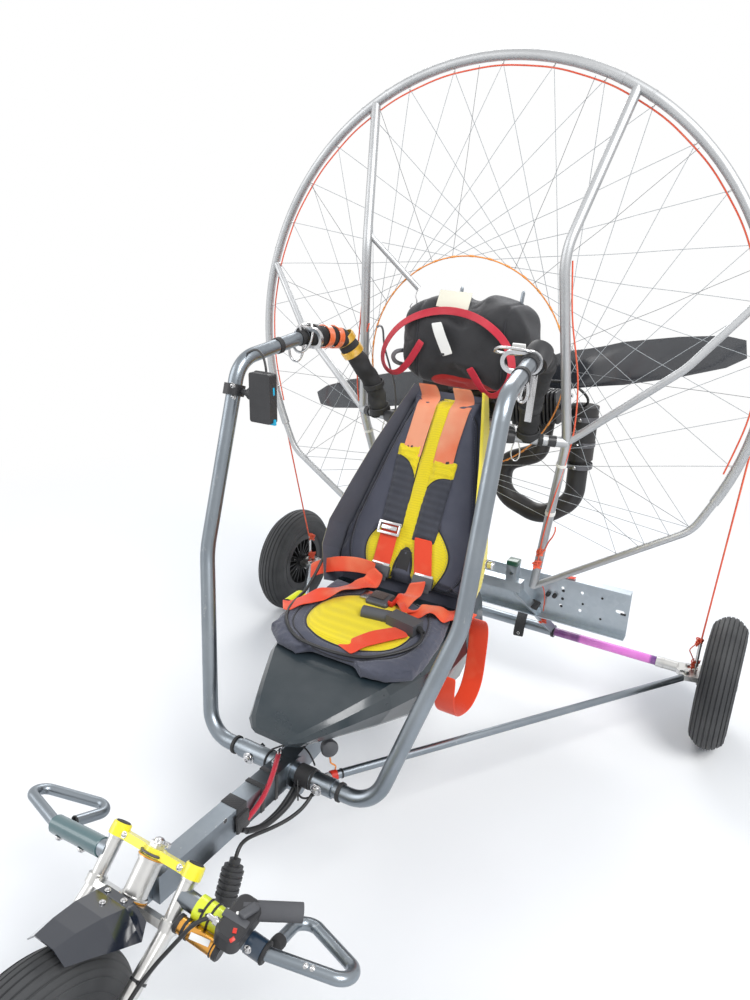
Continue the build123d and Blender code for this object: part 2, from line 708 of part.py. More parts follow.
# Hub brackets: a socket on the rod, a flat plate, a post for the stay, and the wheel's pin
pin_start = TRACK / 2 - HUB_LENGTH / 2 - PLATE_SHORT_OF_HUB
pin_end = TRACK / 2 + HUB_LENGTH / 2 + PIN_HEAD
hubs = []
for name, sign in SIDES:
    socket_start = ROD_END - SOCKET_LENGTH / 3
    socket = round_bar(side((socket_start, REAR_Y, AXLE_Z), sign),
                       side((socket_start + SOCKET_LENGTH, REAR_Y, AXLE_Z), sign), SOCKET_DIAMETER)
    rod_room = round_bar(side((socket_start, REAR_Y, AXLE_Z), sign),
                         side((ROD_END + RUN_GAP, REAR_Y, AXLE_Z), sign), rod_bore)
    post = round_bar(side((HUB_POST_X, REAR_Y, AXLE_Z), sign),
                     side((HUB_POST_X, REAR_Y, AXLE_Z + HUB_POST_RISE), sign), HUB_POST)
    flange = round_bar(side((pin_start - FLANGE_INNER, REAR_Y, AXLE_HEIGHT), sign),
                       side((pin_start + FLANGE_OUTER, REAR_Y, AXLE_HEIGHT), sign), STUB_FLANGE)
    pin = round_bar(side((pin_start, REAR_Y, AXLE_HEIGHT), sign),
                    side((pin_end, REAR_Y, AXLE_HEIGHT), sign), WHEEL_PIN)
    hubs.append(joined(cut_by(socket, rod_room), hub_plate(sign), post, flange, pin))
written(joined(*hubs), "hub_brackets")

# Stays in red cord from the cage down to the posts
stays = []
post_top = AXLE_Z + HUB_POST_RISE
for name, sign in SIDES:
    post_room = round_bar(side((HUB_POST_X, REAR_Y, AXLE_Z), sign),
                          side((HUB_POST_X, REAR_Y, post_top + RUN_GAP), sign), HUB_POST + SEAT_GAP)
    stay = round_bar(side(on_cage(STAY_ANGLE), sign),
                     side((HUB_POST_X, REAR_Y, post_top - HUB_POST), sign), STAY_DIAMETER)
    stays.append(cut_by(stay, ring_room, post_room))
written(joined(*stays), "side_stays")

# Channel across the back, its flanges facing forward, notched over the struts
channel_low = CHANNEL_Z
channel_high = CHANNEL_Z + CHANNEL_DEPTH
channel_mid = (channel_low + channel_high) / 2
flange_y = CHANNEL_Y - CHANNEL_FLANGE
web_y = CHANNEL_Y - CHANNEL_WALL
with BuildPart() as channel:
    with BuildSketch(Plane.YZ.offset(-CHANNEL_HALF)):
        with BuildLine():
            Polyline((CHANNEL_Y, channel_low), (CHANNEL_Y, channel_high), (flange_y, channel_high),
                     (flange_y, channel_high - CHANNEL_WALL), (web_y, channel_high - CHANNEL_WALL),
                     (web_y, channel_low + CHANNEL_WALL), (flange_y, channel_low + CHANNEL_WALL),
                     (flange_y, channel_low), (CHANNEL_Y, channel_low))
        make_face()
    extrude(amount=2 * CHANNEL_HALF)
    for name, sign in SIDES:
        with Locations(Location((sign * CHANNEL_HOLE_X, CHANNEL_Y, channel_mid), (90, 0, 0))):
            with GridLocations(CHANNEL_HOLE_PITCH, CHANNEL_HOLE_PITCH, 2, 2):
                Hole(CHANNEL_HOLE_R, depth=CHANNEL_FLANGE)
        with BuildSketch(Plane(origin=(sign * (CHANNEL_HALF - CHANNEL_SLOT[0]), CHANNEL_Y, channel_mid),
                               x_dir=(1, 0, 0), z_dir=(0, 1, 0))):
            SlotOverall(CHANNEL_SLOT[0], CHANNEL_SLOT[1])
        extrude(amount=-CHANNEL_FLANGE, mode=Mode.SUBTRACT)
written(cut_by(channel.part, *strut_rooms), "rear_channel")

# Fork: stanchions from the top clamp down to the crown, raked legs and the wheel pin
clamp_mid = on_axis(-HEAD_LENGTH / 2 - CLAMP_THICKNESS / 2 - RUN_GAP)
crown_mid = on_axis(HEAD_LENGTH / 2 + CROWN_THICKNESS / 2 + RUN_GAP)
clamp_top = clamp_mid - down * (CLAMP_THICKNESS / 2)
clamp_plane = Plane(origin=clamp_mid, x_dir=(1, 0, 0), z_dir=down)
crown_plane = Plane(origin=crown_mid, x_dir=(1, 0, 0), z_dir=down)
fork_pieces = []
clamp_rooms = [round_bar(clamp_top - down * OVERLAP, crown_mid, STEM_DIAMETER + SEAT_GAP)]
for name, sign in SIDES:
    across = Vector(sign * FORK_HALF, 0, 0)
    eye = (sign * FORK_HALF, FRONT_Y, AXLE_HEIGHT)
    fork_pieces.append(round_bar(clamp_top + across, crown_mid + across + down * CROWN_THICKNESS,
                                 FORK_DIAMETER))
    fork_pieces.append(round_bar(crown_mid + across, eye, FORK_DIAMETER))
    fork_pieces.append(round_bar((eye[0] - FORK_EYE_LENGTH / 2, FRONT_Y, AXLE_HEIGHT),
                                 (eye[0] + FORK_EYE_LENGTH / 2, FRONT_Y, AXLE_HEIGHT), FORK_EYE))
    clamp_rooms.append(round_bar(clamp_top + across - down * OVERLAP, crown_mid + across,
                                 FORK_DIAMETER + SEAT_GAP))
with BuildPart() as crown:
    with BuildSketch(crown_plane):
        Rectangle(2 * FORK_HALF, CROWN_WIDTH)
        with Locations((-FORK_HALF, 0), (FORK_HALF, 0)):
            Circle(CROWN_EYE / 2)
    extrude(amount=CROWN_THICKNESS / 2, both=True)
with BuildPart() as stem_nut:
    with BuildSketch(Plane(origin=clamp_top, x_dir=(1, 0, 0), z_dir=-down)):
        RegularPolygon(NUT_SIZE, 6)
    extrude(amount=NUT_HEIGHT)
stem = round_bar(crown_mid, clamp_top - down * NUT_HEIGHT, STEM_DIAMETER)
front_pin = round_bar((-FORK_HALF - FORK_EYE_LENGTH / 2 - PIN_HEAD, FRONT_Y, AXLE_HEIGHT),
                      (FORK_HALF + FORK_EYE_LENGTH / 2 + PIN_HEAD, FRONT_Y, AXLE_HEIGHT), WHEEL_PIN)
nut = stem_nut.part.moved(Location(tuple(-down * RUN_GAP)))
written(joined(*fork_pieces, crown.part, nut, stem, front_pin), "fork")
with BuildPart() as clamp:
    with BuildSketch(clamp_plane):
        with Locations((-FORK_HALF, 0), (FORK_HALF, 0)):
            Circle(CLAMP_EYE / 2)
        Rectangle(2 * FORK_HALF, CLAMP_WIDTH)
        Circle(CLAMP_EYE / 2 + 2)
    extrude(amount=CLAMP_THICKNESS / 2, both=True)
written(cut_by(clamp.part, *clamp_rooms), "fork_clamp")

# Mudguard: one folded sheet over the tyre, on a bracket from the crown's front face
with BuildPart() as sheet:
    for y, z, half_top, half_low, drop in MUDGUARD_SECTIONS:
        wall = MUDGUARD_WALL
        with BuildSketch(Plane(origin=(0, y, z), x_dir=(1, 0, 0), z_dir=(0, -1, 0))):
            with BuildLine():
                Polyline((-half_low, drop), (-half_top, 0), (half_top, 0), (half_low, drop),
                         (half_low - wall, drop), (half_top - 1, -wall), (1 - half_top, -wall),
                         (wall - half_low, drop), (-half_low, drop))
            make_face()
    loft(ruled=True)
crown_face = crown_mid + ahead * (CROWN_WIDTH / 2 + RUN_GAP)
guard_y, guard_z = MUDGUARD_SECTIONS[3][:2]
bracket = box_tube(tuple(crown_face), (0, guard_y, guard_z - MUDGUARD_WALL / 2),
                   BRACKET_WIDTH, BRACKET_THICKNESS)
with BuildPart() as crown_room:
    with BuildSketch(crown_plane):
        Rectangle(2 * FORK_HALF, CROWN_WIDTH + SEAT_GAP)
    extrude(amount=CROWN_THICKNESS, both=True)
written(joined(sheet.part, cut_by(bracket, crown_room.part)), "mudguard")

# Foot bars: a sleeve out of each stanchion and a bent tube that the foot rests in
sleeve_root = on_axis(-8, 0, FORK_HALF)
sleeve_run = (Vector(*FOOT_SLEEVE_END) - sleeve_root).normalized()
for name, sign in SIDES:
    root = side(tuple(sleeve_root), sign)
    sleeve = round_bar(root, side(FOOT_SLEEVE_END, sign), FOOT_SLEEVE_DIAMETER)
    bar_points = [side(point, sign) for point in (FOOT_SLEEVE_END, *FOOT_CORNERS)]
    bar = bent_tube(bar_points, FOOT_BAR_DIAMETER, FOOT_BENDS, FOOT_BAR_WALL)
    stanchion = round_bar(side(tuple(on_axis(-HEAD_LENGTH, 0, FORK_HALF)), sign),
                          side(tuple(on_axis(HEAD_LENGTH, 0, FORK_HALF)), sign),
                          FORK_DIAMETER + SEAT_GAP)
    written(cut_by(joined(sleeve, bar), stanchion), f"foot_bar_{name}")

# Controls on the pilot's left sleeve, placed along it, above it and ahead of it
sleeve_ahead = Vector(0, 0, 1).cross(sleeve_run).normalized() * -1
sleeve_up = sleeve_ahead.cross(sleeve_run).normalized()
if sleeve_up.Z < 0:
    sleeve_up = -sleeve_up


def on_sleeve(along, ahead_of=0, above=0):
    """A point by the pilot's left foot bar sleeve."""
    return sleeve_root + sleeve_run * along + sleeve_ahead * ahead_of + sleeve_up * above


cover_bore = FOOT_SLEEVE_DIAMETER + SEAT_GAP
written(round_bar(on_sleeve(COVER_START), on_sleeve(COVER_START + COVER_LENGTH),
                  COVER_DIAMETER, cover_bore), "bar_bracket")
reservoir_out = (COVER_DIAMETER + RESERVOIR_DIAMETER) / 2 + RUN_GAP
reservoir_ahead = reservoir_out * cos(radians(20))
reservoir_drop = -reservoir_out * sin(radians(20))
with BuildPart() as reservoir:
    with BuildSketch(Plane(origin=on_sleeve(RESERVOIR_START, reservoir_ahead, reservoir_drop),
                           z_dir=sleeve_run)):
        Circle(RESERVOIR_DIAMETER / 2)
    extrude(amount=RESERVOIR_LENGTH)
    chamfer(reservoir.edges().filter_by(GeomType.CIRCLE), 2)
written(reservoir.part, "reservoir")
housing_above = COVER_DIAMETER / 2 + RUN_GAP
with BuildPart() as housing:
    housing_plane = Plane(origin=on_sleeve(HOUSING_START, HOUSING_AHEAD, housing_above),
                          x_dir=sleeve_run, z_dir=sleeve_up)
    with BuildSketch(housing_plane):
        with Locations((HOUSING_LENGTH / 2, 0)):
            RectangleRounded(HOUSING_LENGTH, HOUSING_WIDTH, HOUSING_LENGTH / 3)
    extrude(amount=HOUSING_HEIGHT)
    chamfer(housing.faces().sort_by(Axis.Z)[-1].edges(), 4)
written(housing.part, "throttle_housing")
grip_start = HOUSING_START + HOUSING_LENGTH + RUN_GAP
grip_above = housing_above + HOUSING_HEIGHT / 2
grip_run = sleeve_run * cos(radians(GRIP_TURN)) - sleeve_ahead * sin(radians(GRIP_TURN))
grip_root = on_sleeve(grip_start - GRIP_DIAMETER, -GRIP_BEHIND, grip_above)
grip_tip = grip_root + grip_run * (GRIP_LENGTH + GRIP_DIAMETER)
housing_room = housing.part.moved(Location(tuple(sleeve_run * RUN_GAP)))
written(cut_by(round_bar(grip_root, grip_tip, GRIP_DIAMETER), housing_room, housing.part),
        "throttle_grip")

# Brake lead from the control, clipped along the fork's left leg
leg_top = crown_mid + Vector(FORK_HALF, 0, 0)
leg_foot = Vector(FORK_HALF, FRONT_Y, AXLE_HEIGHT)
leg_run = (leg_foot - leg_top).normalized()
leg_front = Vector(1, 0, 0).cross(leg_run).normalized()
if leg_front.Z < 0:
    leg_front = -leg_front
clip_out = (FORK_DIAMETER + BRAKE_LEAD_DIAMETER) / 2 + RUN_GAP
clip_turn = radians(BRAKE_LEAD_TURN)
clip_offset = Vector(clip_out * sin(clip_turn), 0, 0) + leg_front * clip_out * cos(clip_turn)
lead_start = on_sleeve(HOUSING_START - RUN_GAP, HOUSING_WIDTH / 4, grip_above)
brake_route = [
    tuple(lead_start - sleeve_run * back + sleeve_ahead * out - sleeve_up * drop)
    for back, out, drop in BRAKE_LEAD_START
]
brake_route += [
    tuple(leg_top + (leg_foot - leg_top) * share + clip_offset) for share in BRAKE_LEAD_CLIPS
]
brake_bends = cord_bends(brake_route)
brake_lead = bent_tube(brake_route, BRAKE_LEAD_DIAMETER, brake_bends)
written(cut_by(brake_lead, housing.part), "brake_lead")

# Seat base: a moulded tub with a low nose, its underside grooved over the beam
with BuildPart() as base:
    for y, half_top, half_low, low, high in SEAT_BASE_SECTIONS:
        rise = (high - low) * SEAT_EDGE
        round_in = min(20, half_top / 4)
        foot = (high - low) / 8
        with BuildSketch(Plane(origin=(0, y, 0), x_dir=(1, 0, 0), z_dir=(0, -1, 0))):
            with BuildLine():
                Polyline((foot - half_low, low), (-half_low, low + foot), (-half_top, high - rise),
                         (-half_top + round_in / 3, high - rise / 3), (round_in - half_top, high),
                         (half_top - round_in, high), (half_top - round_in / 3, high - rise / 3),
                         (half_top, high - rise), (half_low, low + foot), (half_low - foot, low),
                         (foot - half_low, low))
            make_face()
    loft(ruled=True)
knee_top = BEAM_KNEE[1] + BEAM_DEPTH / 2
back_top = BEAM_BACK[1] + BEAM_DEPTH / 2
with BuildPart() as beam_groove:
    with BuildSketch(Plane.YZ.offset(-BEAM_WIDTH / 2 - RUN_GAP)):
        with BuildLine():
            Polyline((BEAM_KNEE[0] - BEAM_DEPTH, knee_top + RUN_GAP), (BEAM_KNEE[0], knee_top + RUN_GAP),
                     (BEAM_BACK[0], back_top + RUN_GAP), (BEAM_BACK[0], 0),
                     (BEAM_KNEE[0] - BEAM_DEPTH, 0), (BEAM_KNEE[0] - BEAM_DEPTH, knee_top + RUN_GAP))
        make_face()
    extrude(amount=BEAM_WIDTH + SEAT_GAP)
seat_base = cut_by(base.part, beam_groove.part)
written(seat_base, "seat_base")

# Seat back: a bucket shell open in front, and the cushion inside it
crease = Vector(*SEAT_CREASE)
back_up = Vector(0, sin(radians(BACK_TILT)), cos(radians(BACK_TILT)))


def back_plane(along):
    """A plane square across the seat's back, with local Y pointing rearward."""
    return Plane(origin=crease + back_up * along, x_dir=(1, 0, 0), z_dir=back_up)


def back_shape(along):
    """Half width, wing forward and depth behind at a height up the seat back."""
    for first, second in zip(SEAT_BACK_SECTIONS, SEAT_BACK_SECTIONS[1:]):
        if along <= second[0]:
            break
    return spread(first[1:], second[1:], (along - first[0]) / (second[0] - first[0]))


with BuildPart() as shell:
    for along, half, wing, deep in SEAT_BACK_SECTIONS:
        with BuildSketch(back_plane(along)):
            with Locations((0, (deep - wing) / 2)):
                RectangleRounded(2 * half, deep + wing, SHELL_CORNER)
    loft(ruled=True)
shell_last = len(SEAT_BACK_SECTIONS) - 1
with BuildPart() as shell_room:
    for step, (along, half, wing, deep) in enumerate(SEAT_BACK_SECTIONS):
        reach = {0: -RUN_GAP, shell_last: RUN_GAP}.get(step, 0)
        front = wing + 2 * SHELL_CORNER
        with BuildSketch(back_plane(along + reach)):
            with Locations((0, (deep - SEAT_WALL - front) / 2)):
                RectangleRounded(2 * (half - SEAT_WALL), deep - SEAT_WALL + front,
                                 SHELL_CORNER - SEAT_WALL)
    loft(ruled=True)
base_room = seat_base.moved(Location((0, 0, RUN_GAP)))
seat_shell = cut_by(shell.part, shell_room.part, base_room)
written(seat_shell, "seat_shell")


def cushion_face(along):
    """How far the back cushion's face lies behind the crease line."""
    return back_shape(along)[2] - SEAT_WALL - RUN_GAP - BACK_CUSHION


with BuildPart() as back_cushion:
    for along in CUSHION_STATIONS:
        half = back_shape(along)[0] - SEAT_WALL - SEAT_GAP
        with BuildSketch(back_plane(along)):
            with Locations((0, cushion_face(along) + BACK_CUSHION / 2)):
                RectangleRounded(2 * half, BACK_CUSHION, CUSHION_CORNER)
    loft(ruled=True)
rise_dir = Vector(0, -sin(radians(SEAT_RISE)), cos(radians(SEAT_RISE)))
cushion_plane = Plane(origin=(0, 0, SEAT_CUSHION_TOP), x_dir=(1, 0, 0), z_dir=rise_dir)
with BuildPart() as seat_cushion:
    with BuildSketch(cushion_plane):
        with BuildLine():
            Polyline(*SEAT_CUSHION_OUTLINE)
        make_face()
    extrude(amount=-SEAT_CUSHION)
seat_pad = cut_by(seat_cushion.part, base_room, seat_shell.moved(Location((0, -RUN_GAP, 0))))
written(seat_pad, "seat_cushion")
pad_room = seat_pad.moved(Location((0, 0, RUN_GAP)))
written(cut_by(back_cushion.part, base_room, pad_room), "back_cushion")


# Harness: shoulder straps and pads on the back cushion, the lap belt on the seat cushion
def ribbon(stations, width, thickness, sign):
    """Webbing or a pad lying on the back cushion through its stations."""
    with BuildPart() as strip:
        for along, x in stations:
            with BuildSketch(back_plane(along)):
                with Locations((sign * x, cushion_face(along) - RUN_GAP - thickness / 2)):
                    Rectangle(width, thickness)
        loft(ruled=True)
    return strip.part


straps = []
pads = []
lap = []
lap_bottom = Plane(origin=cushion_plane.origin + rise_dir * RUN_GAP, x_dir=(1, 0, 0), z_dir=rise_dir)
for name, sign in SIDES:
    straps.append(ribbon(STRAP_UPPER, WEBBING, WEBBING_THICKNESS, sign))
    straps.append(ribbon(STRAP_LOWER, WEBBING, WEBBING_THICKNESS, sign))
    pads.append(ribbon(PADS, PAD_WIDTH, PAD_THICKNESS, sign))
    lap_run = Vector(LAP_OUTER[0] - LAP_INNER[0], LAP_OUTER[1] - LAP_INNER[1])
    lap_mid = spread(LAP_INNER, LAP_OUTER, 0.5)
    turn = degrees(atan2(lap_run.Y, lap_run.X))
    with BuildPart() as belt:
        with BuildSketch(lap_bottom):
            with Locations(Location((sign * lap_mid[0], lap_mid[1], 0), (0, 0, sign * turn))):
                Rectangle(lap_run.length, WEBBING)
        extrude(amount=WEBBING_THICKNESS)
    lap.append(belt.part)
with BuildPart() as tail:
    with BuildSketch(Plane.YZ.offset(SEAT_HALF + RUN_GAP)):
        with BuildLine():
            FilletPolyline(*TAIL_ROUTE, radius=TAIL_BENDS)
        trace(line_width=WEBBING_THICKNESS)
    extrude(amount=WEBBING)
lap.append(tail.part)
written(joined(*straps), "shoulder_straps")
written(joined(*pads), "shoulder_pads")
written(joined(*lap), "lap_belt")
with BuildPart() as buckle:
    with BuildSketch(lap_bottom):
        with Locations((0, BUCKLE_Y)):
            RectangleRounded(BUCKLE[0], BUCKLE[1], 8)
    extrude(amount=BUCKLE[2])
    chamfer(buckle.faces().sort_by(Axis.Z)[-1].edges(), 4)
written(buckle.part, "lap_buckle")


# Hand throttle lying on the seat cushion, and its lead round the cushion's front
def on_cushion(x, y, above):
    """A point above the seat cushion's top."""
    return cushion_plane.origin + cushion_plane.y_dir * y + Vector(x, 0, 0) + rise_dir * above


hand_above = HAND_GRIP_DIAMETER / 2 + RUN_GAP
grip_ends = [on_cushion(x, y, hand_above) for x, y in HAND_GRIP]
body_ends = [on_cushion(x, y, HAND_BODY_SIZE[1] / 2 + HAND_LIFT) for x, y in HAND_BODY]
hand_body = box_tube(tuple(body_ends[0]), tuple(body_ends[1]), *HAND_BODY_SIZE)
hand_room = box_tube(tuple(body_ends[0]), tuple(body_ends[1]), HAND_BODY_SIZE[0] + SEAT_GAP,
                     HAND_BODY_SIZE[1] + SEAT_GAP)
written(joined(cut_by(round_bar(*grip_ends, HAND_GRIP_DIAMETER), hand_body), hand_body),
        "hand_throttle")
lead_above = LEAD_DIAMETER / 2 + RUN_GAP
seat_route = [tuple(on_cushion(x, y, lead_above)) for x, y in SEAT_LEAD_ROUTE]
seat_route[0] = tuple(body_ends[1])
seat_route[1] = tuple(on_cushion(*SEAT_LEAD_ROUTE[1], HAND_BODY_SIZE[1] / 3))
seat_route.append(SEAT_LEAD_END)
seat_lead = bent_tube(seat_route, LEAD_DIAMETER, cord_bends(seat_route))
written(cut_by(seat_lead, hand_room, seat_shell), "seat_lead")

# Gear bag on top of the seat back
bag_floor = CRANK_Z + STARTER_DIAMETER / 2 + RUN_GAP
with BuildPart() as bag:
    with Locations((0, BAG_Y, bag_floor + BAG_SIZE[2] / 2)):
        Box(*BAG_SIZE)
    fillet(bag.edges().filter_by(Axis.Y), BAG_LOBE)
    fillet(bag.faces().filter_by(Axis.Y).edges(), BAG_EDGE)
written(bag.part, "gear_bag")

# Engine: a round crankcase, and a finned cylinder tilted up to the pilot's left
with BuildPart() as case:
    with BuildSketch(Plane(origin=(CRANK_X, CASE_BACK, CRANK_Z), x_dir=(1, 0, 0), z_dir=(0, -1, 0))):
        Circle(CASE_DIAMETER / 2)
        for start in CASE_LUGS:
            with PolarLocations(CASE_DIAMETER / 2, 1, start_angle=start):
                Circle(CASE_LUG_R)
    extrude(amount=CASE_BACK - CASE_FRONT)
    with BuildSketch(Plane(origin=(CRANK_X, CASE_FRONT, CRANK_Z), x_dir=(1, 0, 0), z_dir=(0, -1, 0))):
        Circle(STARTER_DIAMETER / 2)
    extrude(amount=STARTER_DEPTH)
    fillet(case.faces().sort_by(Axis.Y)[0].edges(), 10)
    with BuildSketch(Plane(origin=(CRANK_X, CASE_FRONT - STARTER_DEPTH, CRANK_Z), x_dir=(1, 0, 0),
                           z_dir=(0, -1, 0))):
        with PolarLocations(STARTER_DIAMETER * 0.3, 8):
            SlotOverall(30, 8)
    extrude(amount=-6, mode=Mode.SUBTRACT)
cylinder_axis = Vector(cos(radians(CYLINDER_TILT)), 0, sin(radians(CYLINDER_TILT)))
crank = Vector(CRANK_X, CYLINDER_Y, CRANK_Z)


def on_cylinder(out):
    """A plane square to the cylinder at a distance from the crank."""
    return Plane(origin=crank + cylinder_axis * out, x_dir=(0, 1, 0), z_dir=cylinder_axis)


barrel_foot = FIN_START - CASE_DIAMETER / 8
with BuildPart() as cylinder:
    with BuildSketch(on_cylinder(barrel_foot)):
        RectangleRounded(BARREL_DIAMETER + 10, BARREL_DIAMETER + 10, FIN_CORNER)
    extrude(amount=FIN_START - barrel_foot)
    with BuildSketch(on_cylinder(FIN_START)):
        Circle(BARREL_DIAMETER / 2)
    extrude(amount=(FIN_COUNT - 1) * FIN_PITCH + FIN_THICKNESS)
    for step in range(FIN_COUNT):
        trim = 10 if step > FIN_COUNT - 5 else 0
        with BuildSketch(on_cylinder(FIN_START + step * FIN_PITCH)):
            RectangleRounded(FIN_WIDTH - trim, FIN_WIDTH - trim, FIN_CORNER)
        extrude(amount=FIN_THICKNESS)
    with BuildSketch(on_cylinder(FIN_START + FIN_COUNT * FIN_PITCH - FIN_PITCH)):
        Circle(10)
    extrude(amount=22)
case_room = round_bar((CRANK_X, CASE_BACK + RUN_GAP, CRANK_Z), (CRANK_X, CASE_FRONT, CRANK_Z),
                      CASE_DIAMETER + SEAT_GAP)
cylinder_part = cut_by(cylinder.part, case_room)
written(case.part, "engine_case")

# Exhaust, a fat pipe looping under the engine from the cylinder's port
silencer = round_bar(SILENCER[0], SILENCER[1], SILENCER_DIAMETER)
pipe = bent_tube(EXHAUST_CORNERS, EXHAUST_DIAMETER, EXHAUST_BENDS)
written(joined(pipe, silencer), "exhaust")
port_room = bent_tube(EXHAUST_CORNERS, EXHAUST_DIAMETER + SEAT_GAP, EXHAUST_BENDS)
written(cut_by(cylinder_part, port_room), "engine_cylinder")

# Airbox on a short neck from the case, on the side away from the cylinder
with BuildPart() as airbox:
    with Locations(AIRBOX_MIDDLE):
        Box(*AIRBOX_SIZE)
    fillet(airbox.edges().filter_by(Axis.Y), AIRBOX_SIZE[0] / 4)
carb = round_bar(AIRBOX_MIDDLE, (CRANK_X, AIRBOX_MIDDLE[1], AIRBOX_MIDDLE[2]), CARB_DIAMETER)
written(cut_by(joined(airbox.part, carb), case_room), "airbox")

# Belt drive behind the case: a small pulley on the crank, a large one on the propeller shaft
drive_y = DRIVE_FRONT
shaft_end = PROP_Y + PROP_HUB_LENGTH / 2
with BuildPart() as drive:
    with BuildSketch(Plane(origin=(0, drive_y, 0), x_dir=(1, 0, 0), z_dir=(0, -1, 0))):
        with Locations((CRANK_X, CRANK_Z)):
            Circle(DRIVE_CRANK_R)
        with Locations((0, PROP_Z)):
            Circle(DRIVE_SHAFT_R)
    extrude(amount=-DRIVE_DEPTH)
    with BuildSketch(Plane(origin=(0, drive_y + 8, 0), x_dir=(1, 0, 0), z_dir=(0, -1, 0))):
        with Locations((0, PROP_Z)):
            Circle(DRIVE_SHAFT_R)
            Circle(DRIVE_SHAFT_R - 4, mode=Mode.SUBTRACT)
    extrude(amount=-8, mode=Mode.SUBTRACT)
    add(round_bar((CRANK_X, CASE_BACK + RUN_GAP, CRANK_Z), (CRANK_X, drive_y + 2, CRANK_Z),
                  DRIVE_CRANK_R))
    add(round_bar((0, drive_y + 10, PROP_Z), (0, shaft_end, PROP_Z), SHAFT_DIAMETER))
written(cut_by(drive.part, case_room), "propeller_drive")
mount_pieces = [mount_loop]
for x in MOUNT_BARS:
    mount_pieces.append(round_bar((x, LOOP_BACK, LOOP_Z), (x, CASE_FRONT - STARTER_DEPTH - RUN_GAP, LOOP_Z),
                                  MOUNT_BAR))
written(joined(*mount_pieces), "engine_mount")

# Propeller: a hub with a face plate, and two twisted blades clamped in it
with BuildPart() as prop_hub:
    with Locations(Location((0, PROP_Y, PROP_Z), (90, 0, 0))):
        Cylinder(PROP_HUB / 2, PROP_HUB_LENGTH)
        with PolarLocations(PROP_HUB * 0.32, 6):
            Cylinder(3.2, PROP_HUB_LENGTH, mode=Mode.SUBTRACT)
        Cylinder(SHAFT_DIAMETER / 2 + PIN_CLEARANCE, PROP_HUB_LENGTH, mode=Mode.SUBTRACT)
written(prop_hub.part, "propeller_hub")
blades = []
hub_room = round_bar((0, PROP_Y - PROP_HUB_LENGTH, PROP_Z), (0, PROP_Y + PROP_HUB_LENGTH, PROP_Z),
                     PROP_HUB + SEAT_GAP)
with BuildPart() as blade:
    for reach, chord, thick, pitch in BLADE_STATIONS:
        with BuildSketch(Plane.YZ.offset(reach - OVERLAP)):
            with Locations(Location((0, 0, 0), (0, 0, 90 - pitch))):
                Ellipse(chord / 2, thick / 2)
    loft(ruled=True)
for turn in (0, 180):
    turned = blade.part.moved(Location((0, PROP_Y, PROP_Z), (0, turn - PROP_TURN, 0)))
    blades.append(cut_by(turned, hub_room))
written(joined(*blades), "propeller_blades")

# Shackles round the hoop tips, each a flat oval link
shackles = []
for name, sign in SIDES:
    tip = Vector(*side(HOOP_CORNERS[-1], sign))
    back = (tip - Vector(*side(HOOP_CORNERS[-2], sign))).normalized()
    link_eye = HOOP_DIAMETER + SEAT_GAP
    link_width = link_eye + 2 * SHACKLE_BAR
    inward = Vector(-sign, 0, 0)
    middle = tip - back * SHACKLE_BAR + inward * (SHACKLE_LENGTH - link_width) / 2
    with BuildPart() as link:
        with BuildSketch(Plane(origin=middle, x_dir=(1, 0, 0), z_dir=back)):
            SlotOverall(SHACKLE_LENGTH, link_width)
            SlotOverall(SHACKLE_LENGTH - 2 * SHACKLE_BAR, link_eye, mode=Mode.SUBTRACT)
        extrude(amount=SHACKLE_BAR / 2, both=True)
    hoop_end = round_bar(tip - back * HOOP_PLUG, tip + back, link_eye)
    shackles.append(cut_by(link.part, hoop_end))
written(joined(*shackles), "hang_shackles")

# Holder on the pilot's right hoop: a ring, an arm and the instrument's case
low, high = HOOP_CORNERS[1:3]
ring_at = Vector(*side(spread(low, high, (HOLDER_Z - low[2]) / (high[2] - low[2])), -1))
hoop_run = (Vector(*side(high, -1)) - Vector(*side(low, -1))).normalized()
half_ring = hoop_run * (HOLDER_RING_LENGTH / 2)
ring = round_bar(ring_at - half_ring, ring_at + half_ring, HOLDER_RING, hoop_bore)
case_at = Vector(HOLDER_CASE_X, ring_at.Y - HOLDER_CASE[1], HOLDER_Z)
arm = round_bar(ring_at + Vector(HOLDER_RING / 2 - OVERLAP / 2, 0, 0),
                case_at - Vector(HOLDER_CASE[0] / 2 - OVERLAP, 0, 0), HOLDER_ARM)
with BuildPart() as holder_case:
    with Locations(case_at):
        Box(*HOLDER_CASE)
    fillet(holder_case.edges().filter_by(Axis.Y), 6)
written(joined(ring, arm, holder_case.part), "device_holder")

# A lead from the cross tube to a ribbed plug hanging beside the beam
beam_lead = bent_tube(BEAM_LEAD_ROUTE, LEAD_DIAMETER, cord_bends(BEAM_LEAD_ROUTE))
tube_room = round_bar((-cross_half, cross_y, cross_z), (cross_half, cross_y, cross_z),
                      CROSS_DIAMETER + SEAT_GAP)
written(cut_by(beam_lead, tube_room), "beam_lead")
lead_end = Vector(*BEAM_LEAD_ROUTE[-1])
lead_run = (lead_end - Vector(*BEAM_LEAD_ROUTE[-2])).normalized()
with BuildPart() as plug:
    add(round_bar(lead_end, lead_end + lead_run * 16, PLUG_DIAMETER / 2))
    add(round_bar(lead_end + lead_run * 12, lead_end + lead_run * PLUG_LENGTH, PLUG_DIAMETER - 6))
    for step in range(PLUG_RIBS):
        rib_at = lead_end + lead_run * (20 + step * PLUG_RIB_PITCH)
        add(round_bar(rib_at, rib_at + lead_run * PLUG_RIB_PITCH / 2, PLUG_DIAMETER))
written(plug.part, "hanging_plug")
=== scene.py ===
# %% [markdown]
# # A parked paratrike, dressed in Blender
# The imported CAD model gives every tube, wheel and casting its place. This lesson adds what
# CAD leaves out: rubber, cloth, webbing, foam, cords, bolts and honest surface finishes.
# Each markdown cell says what the real piece is, and why it is made the way it is.

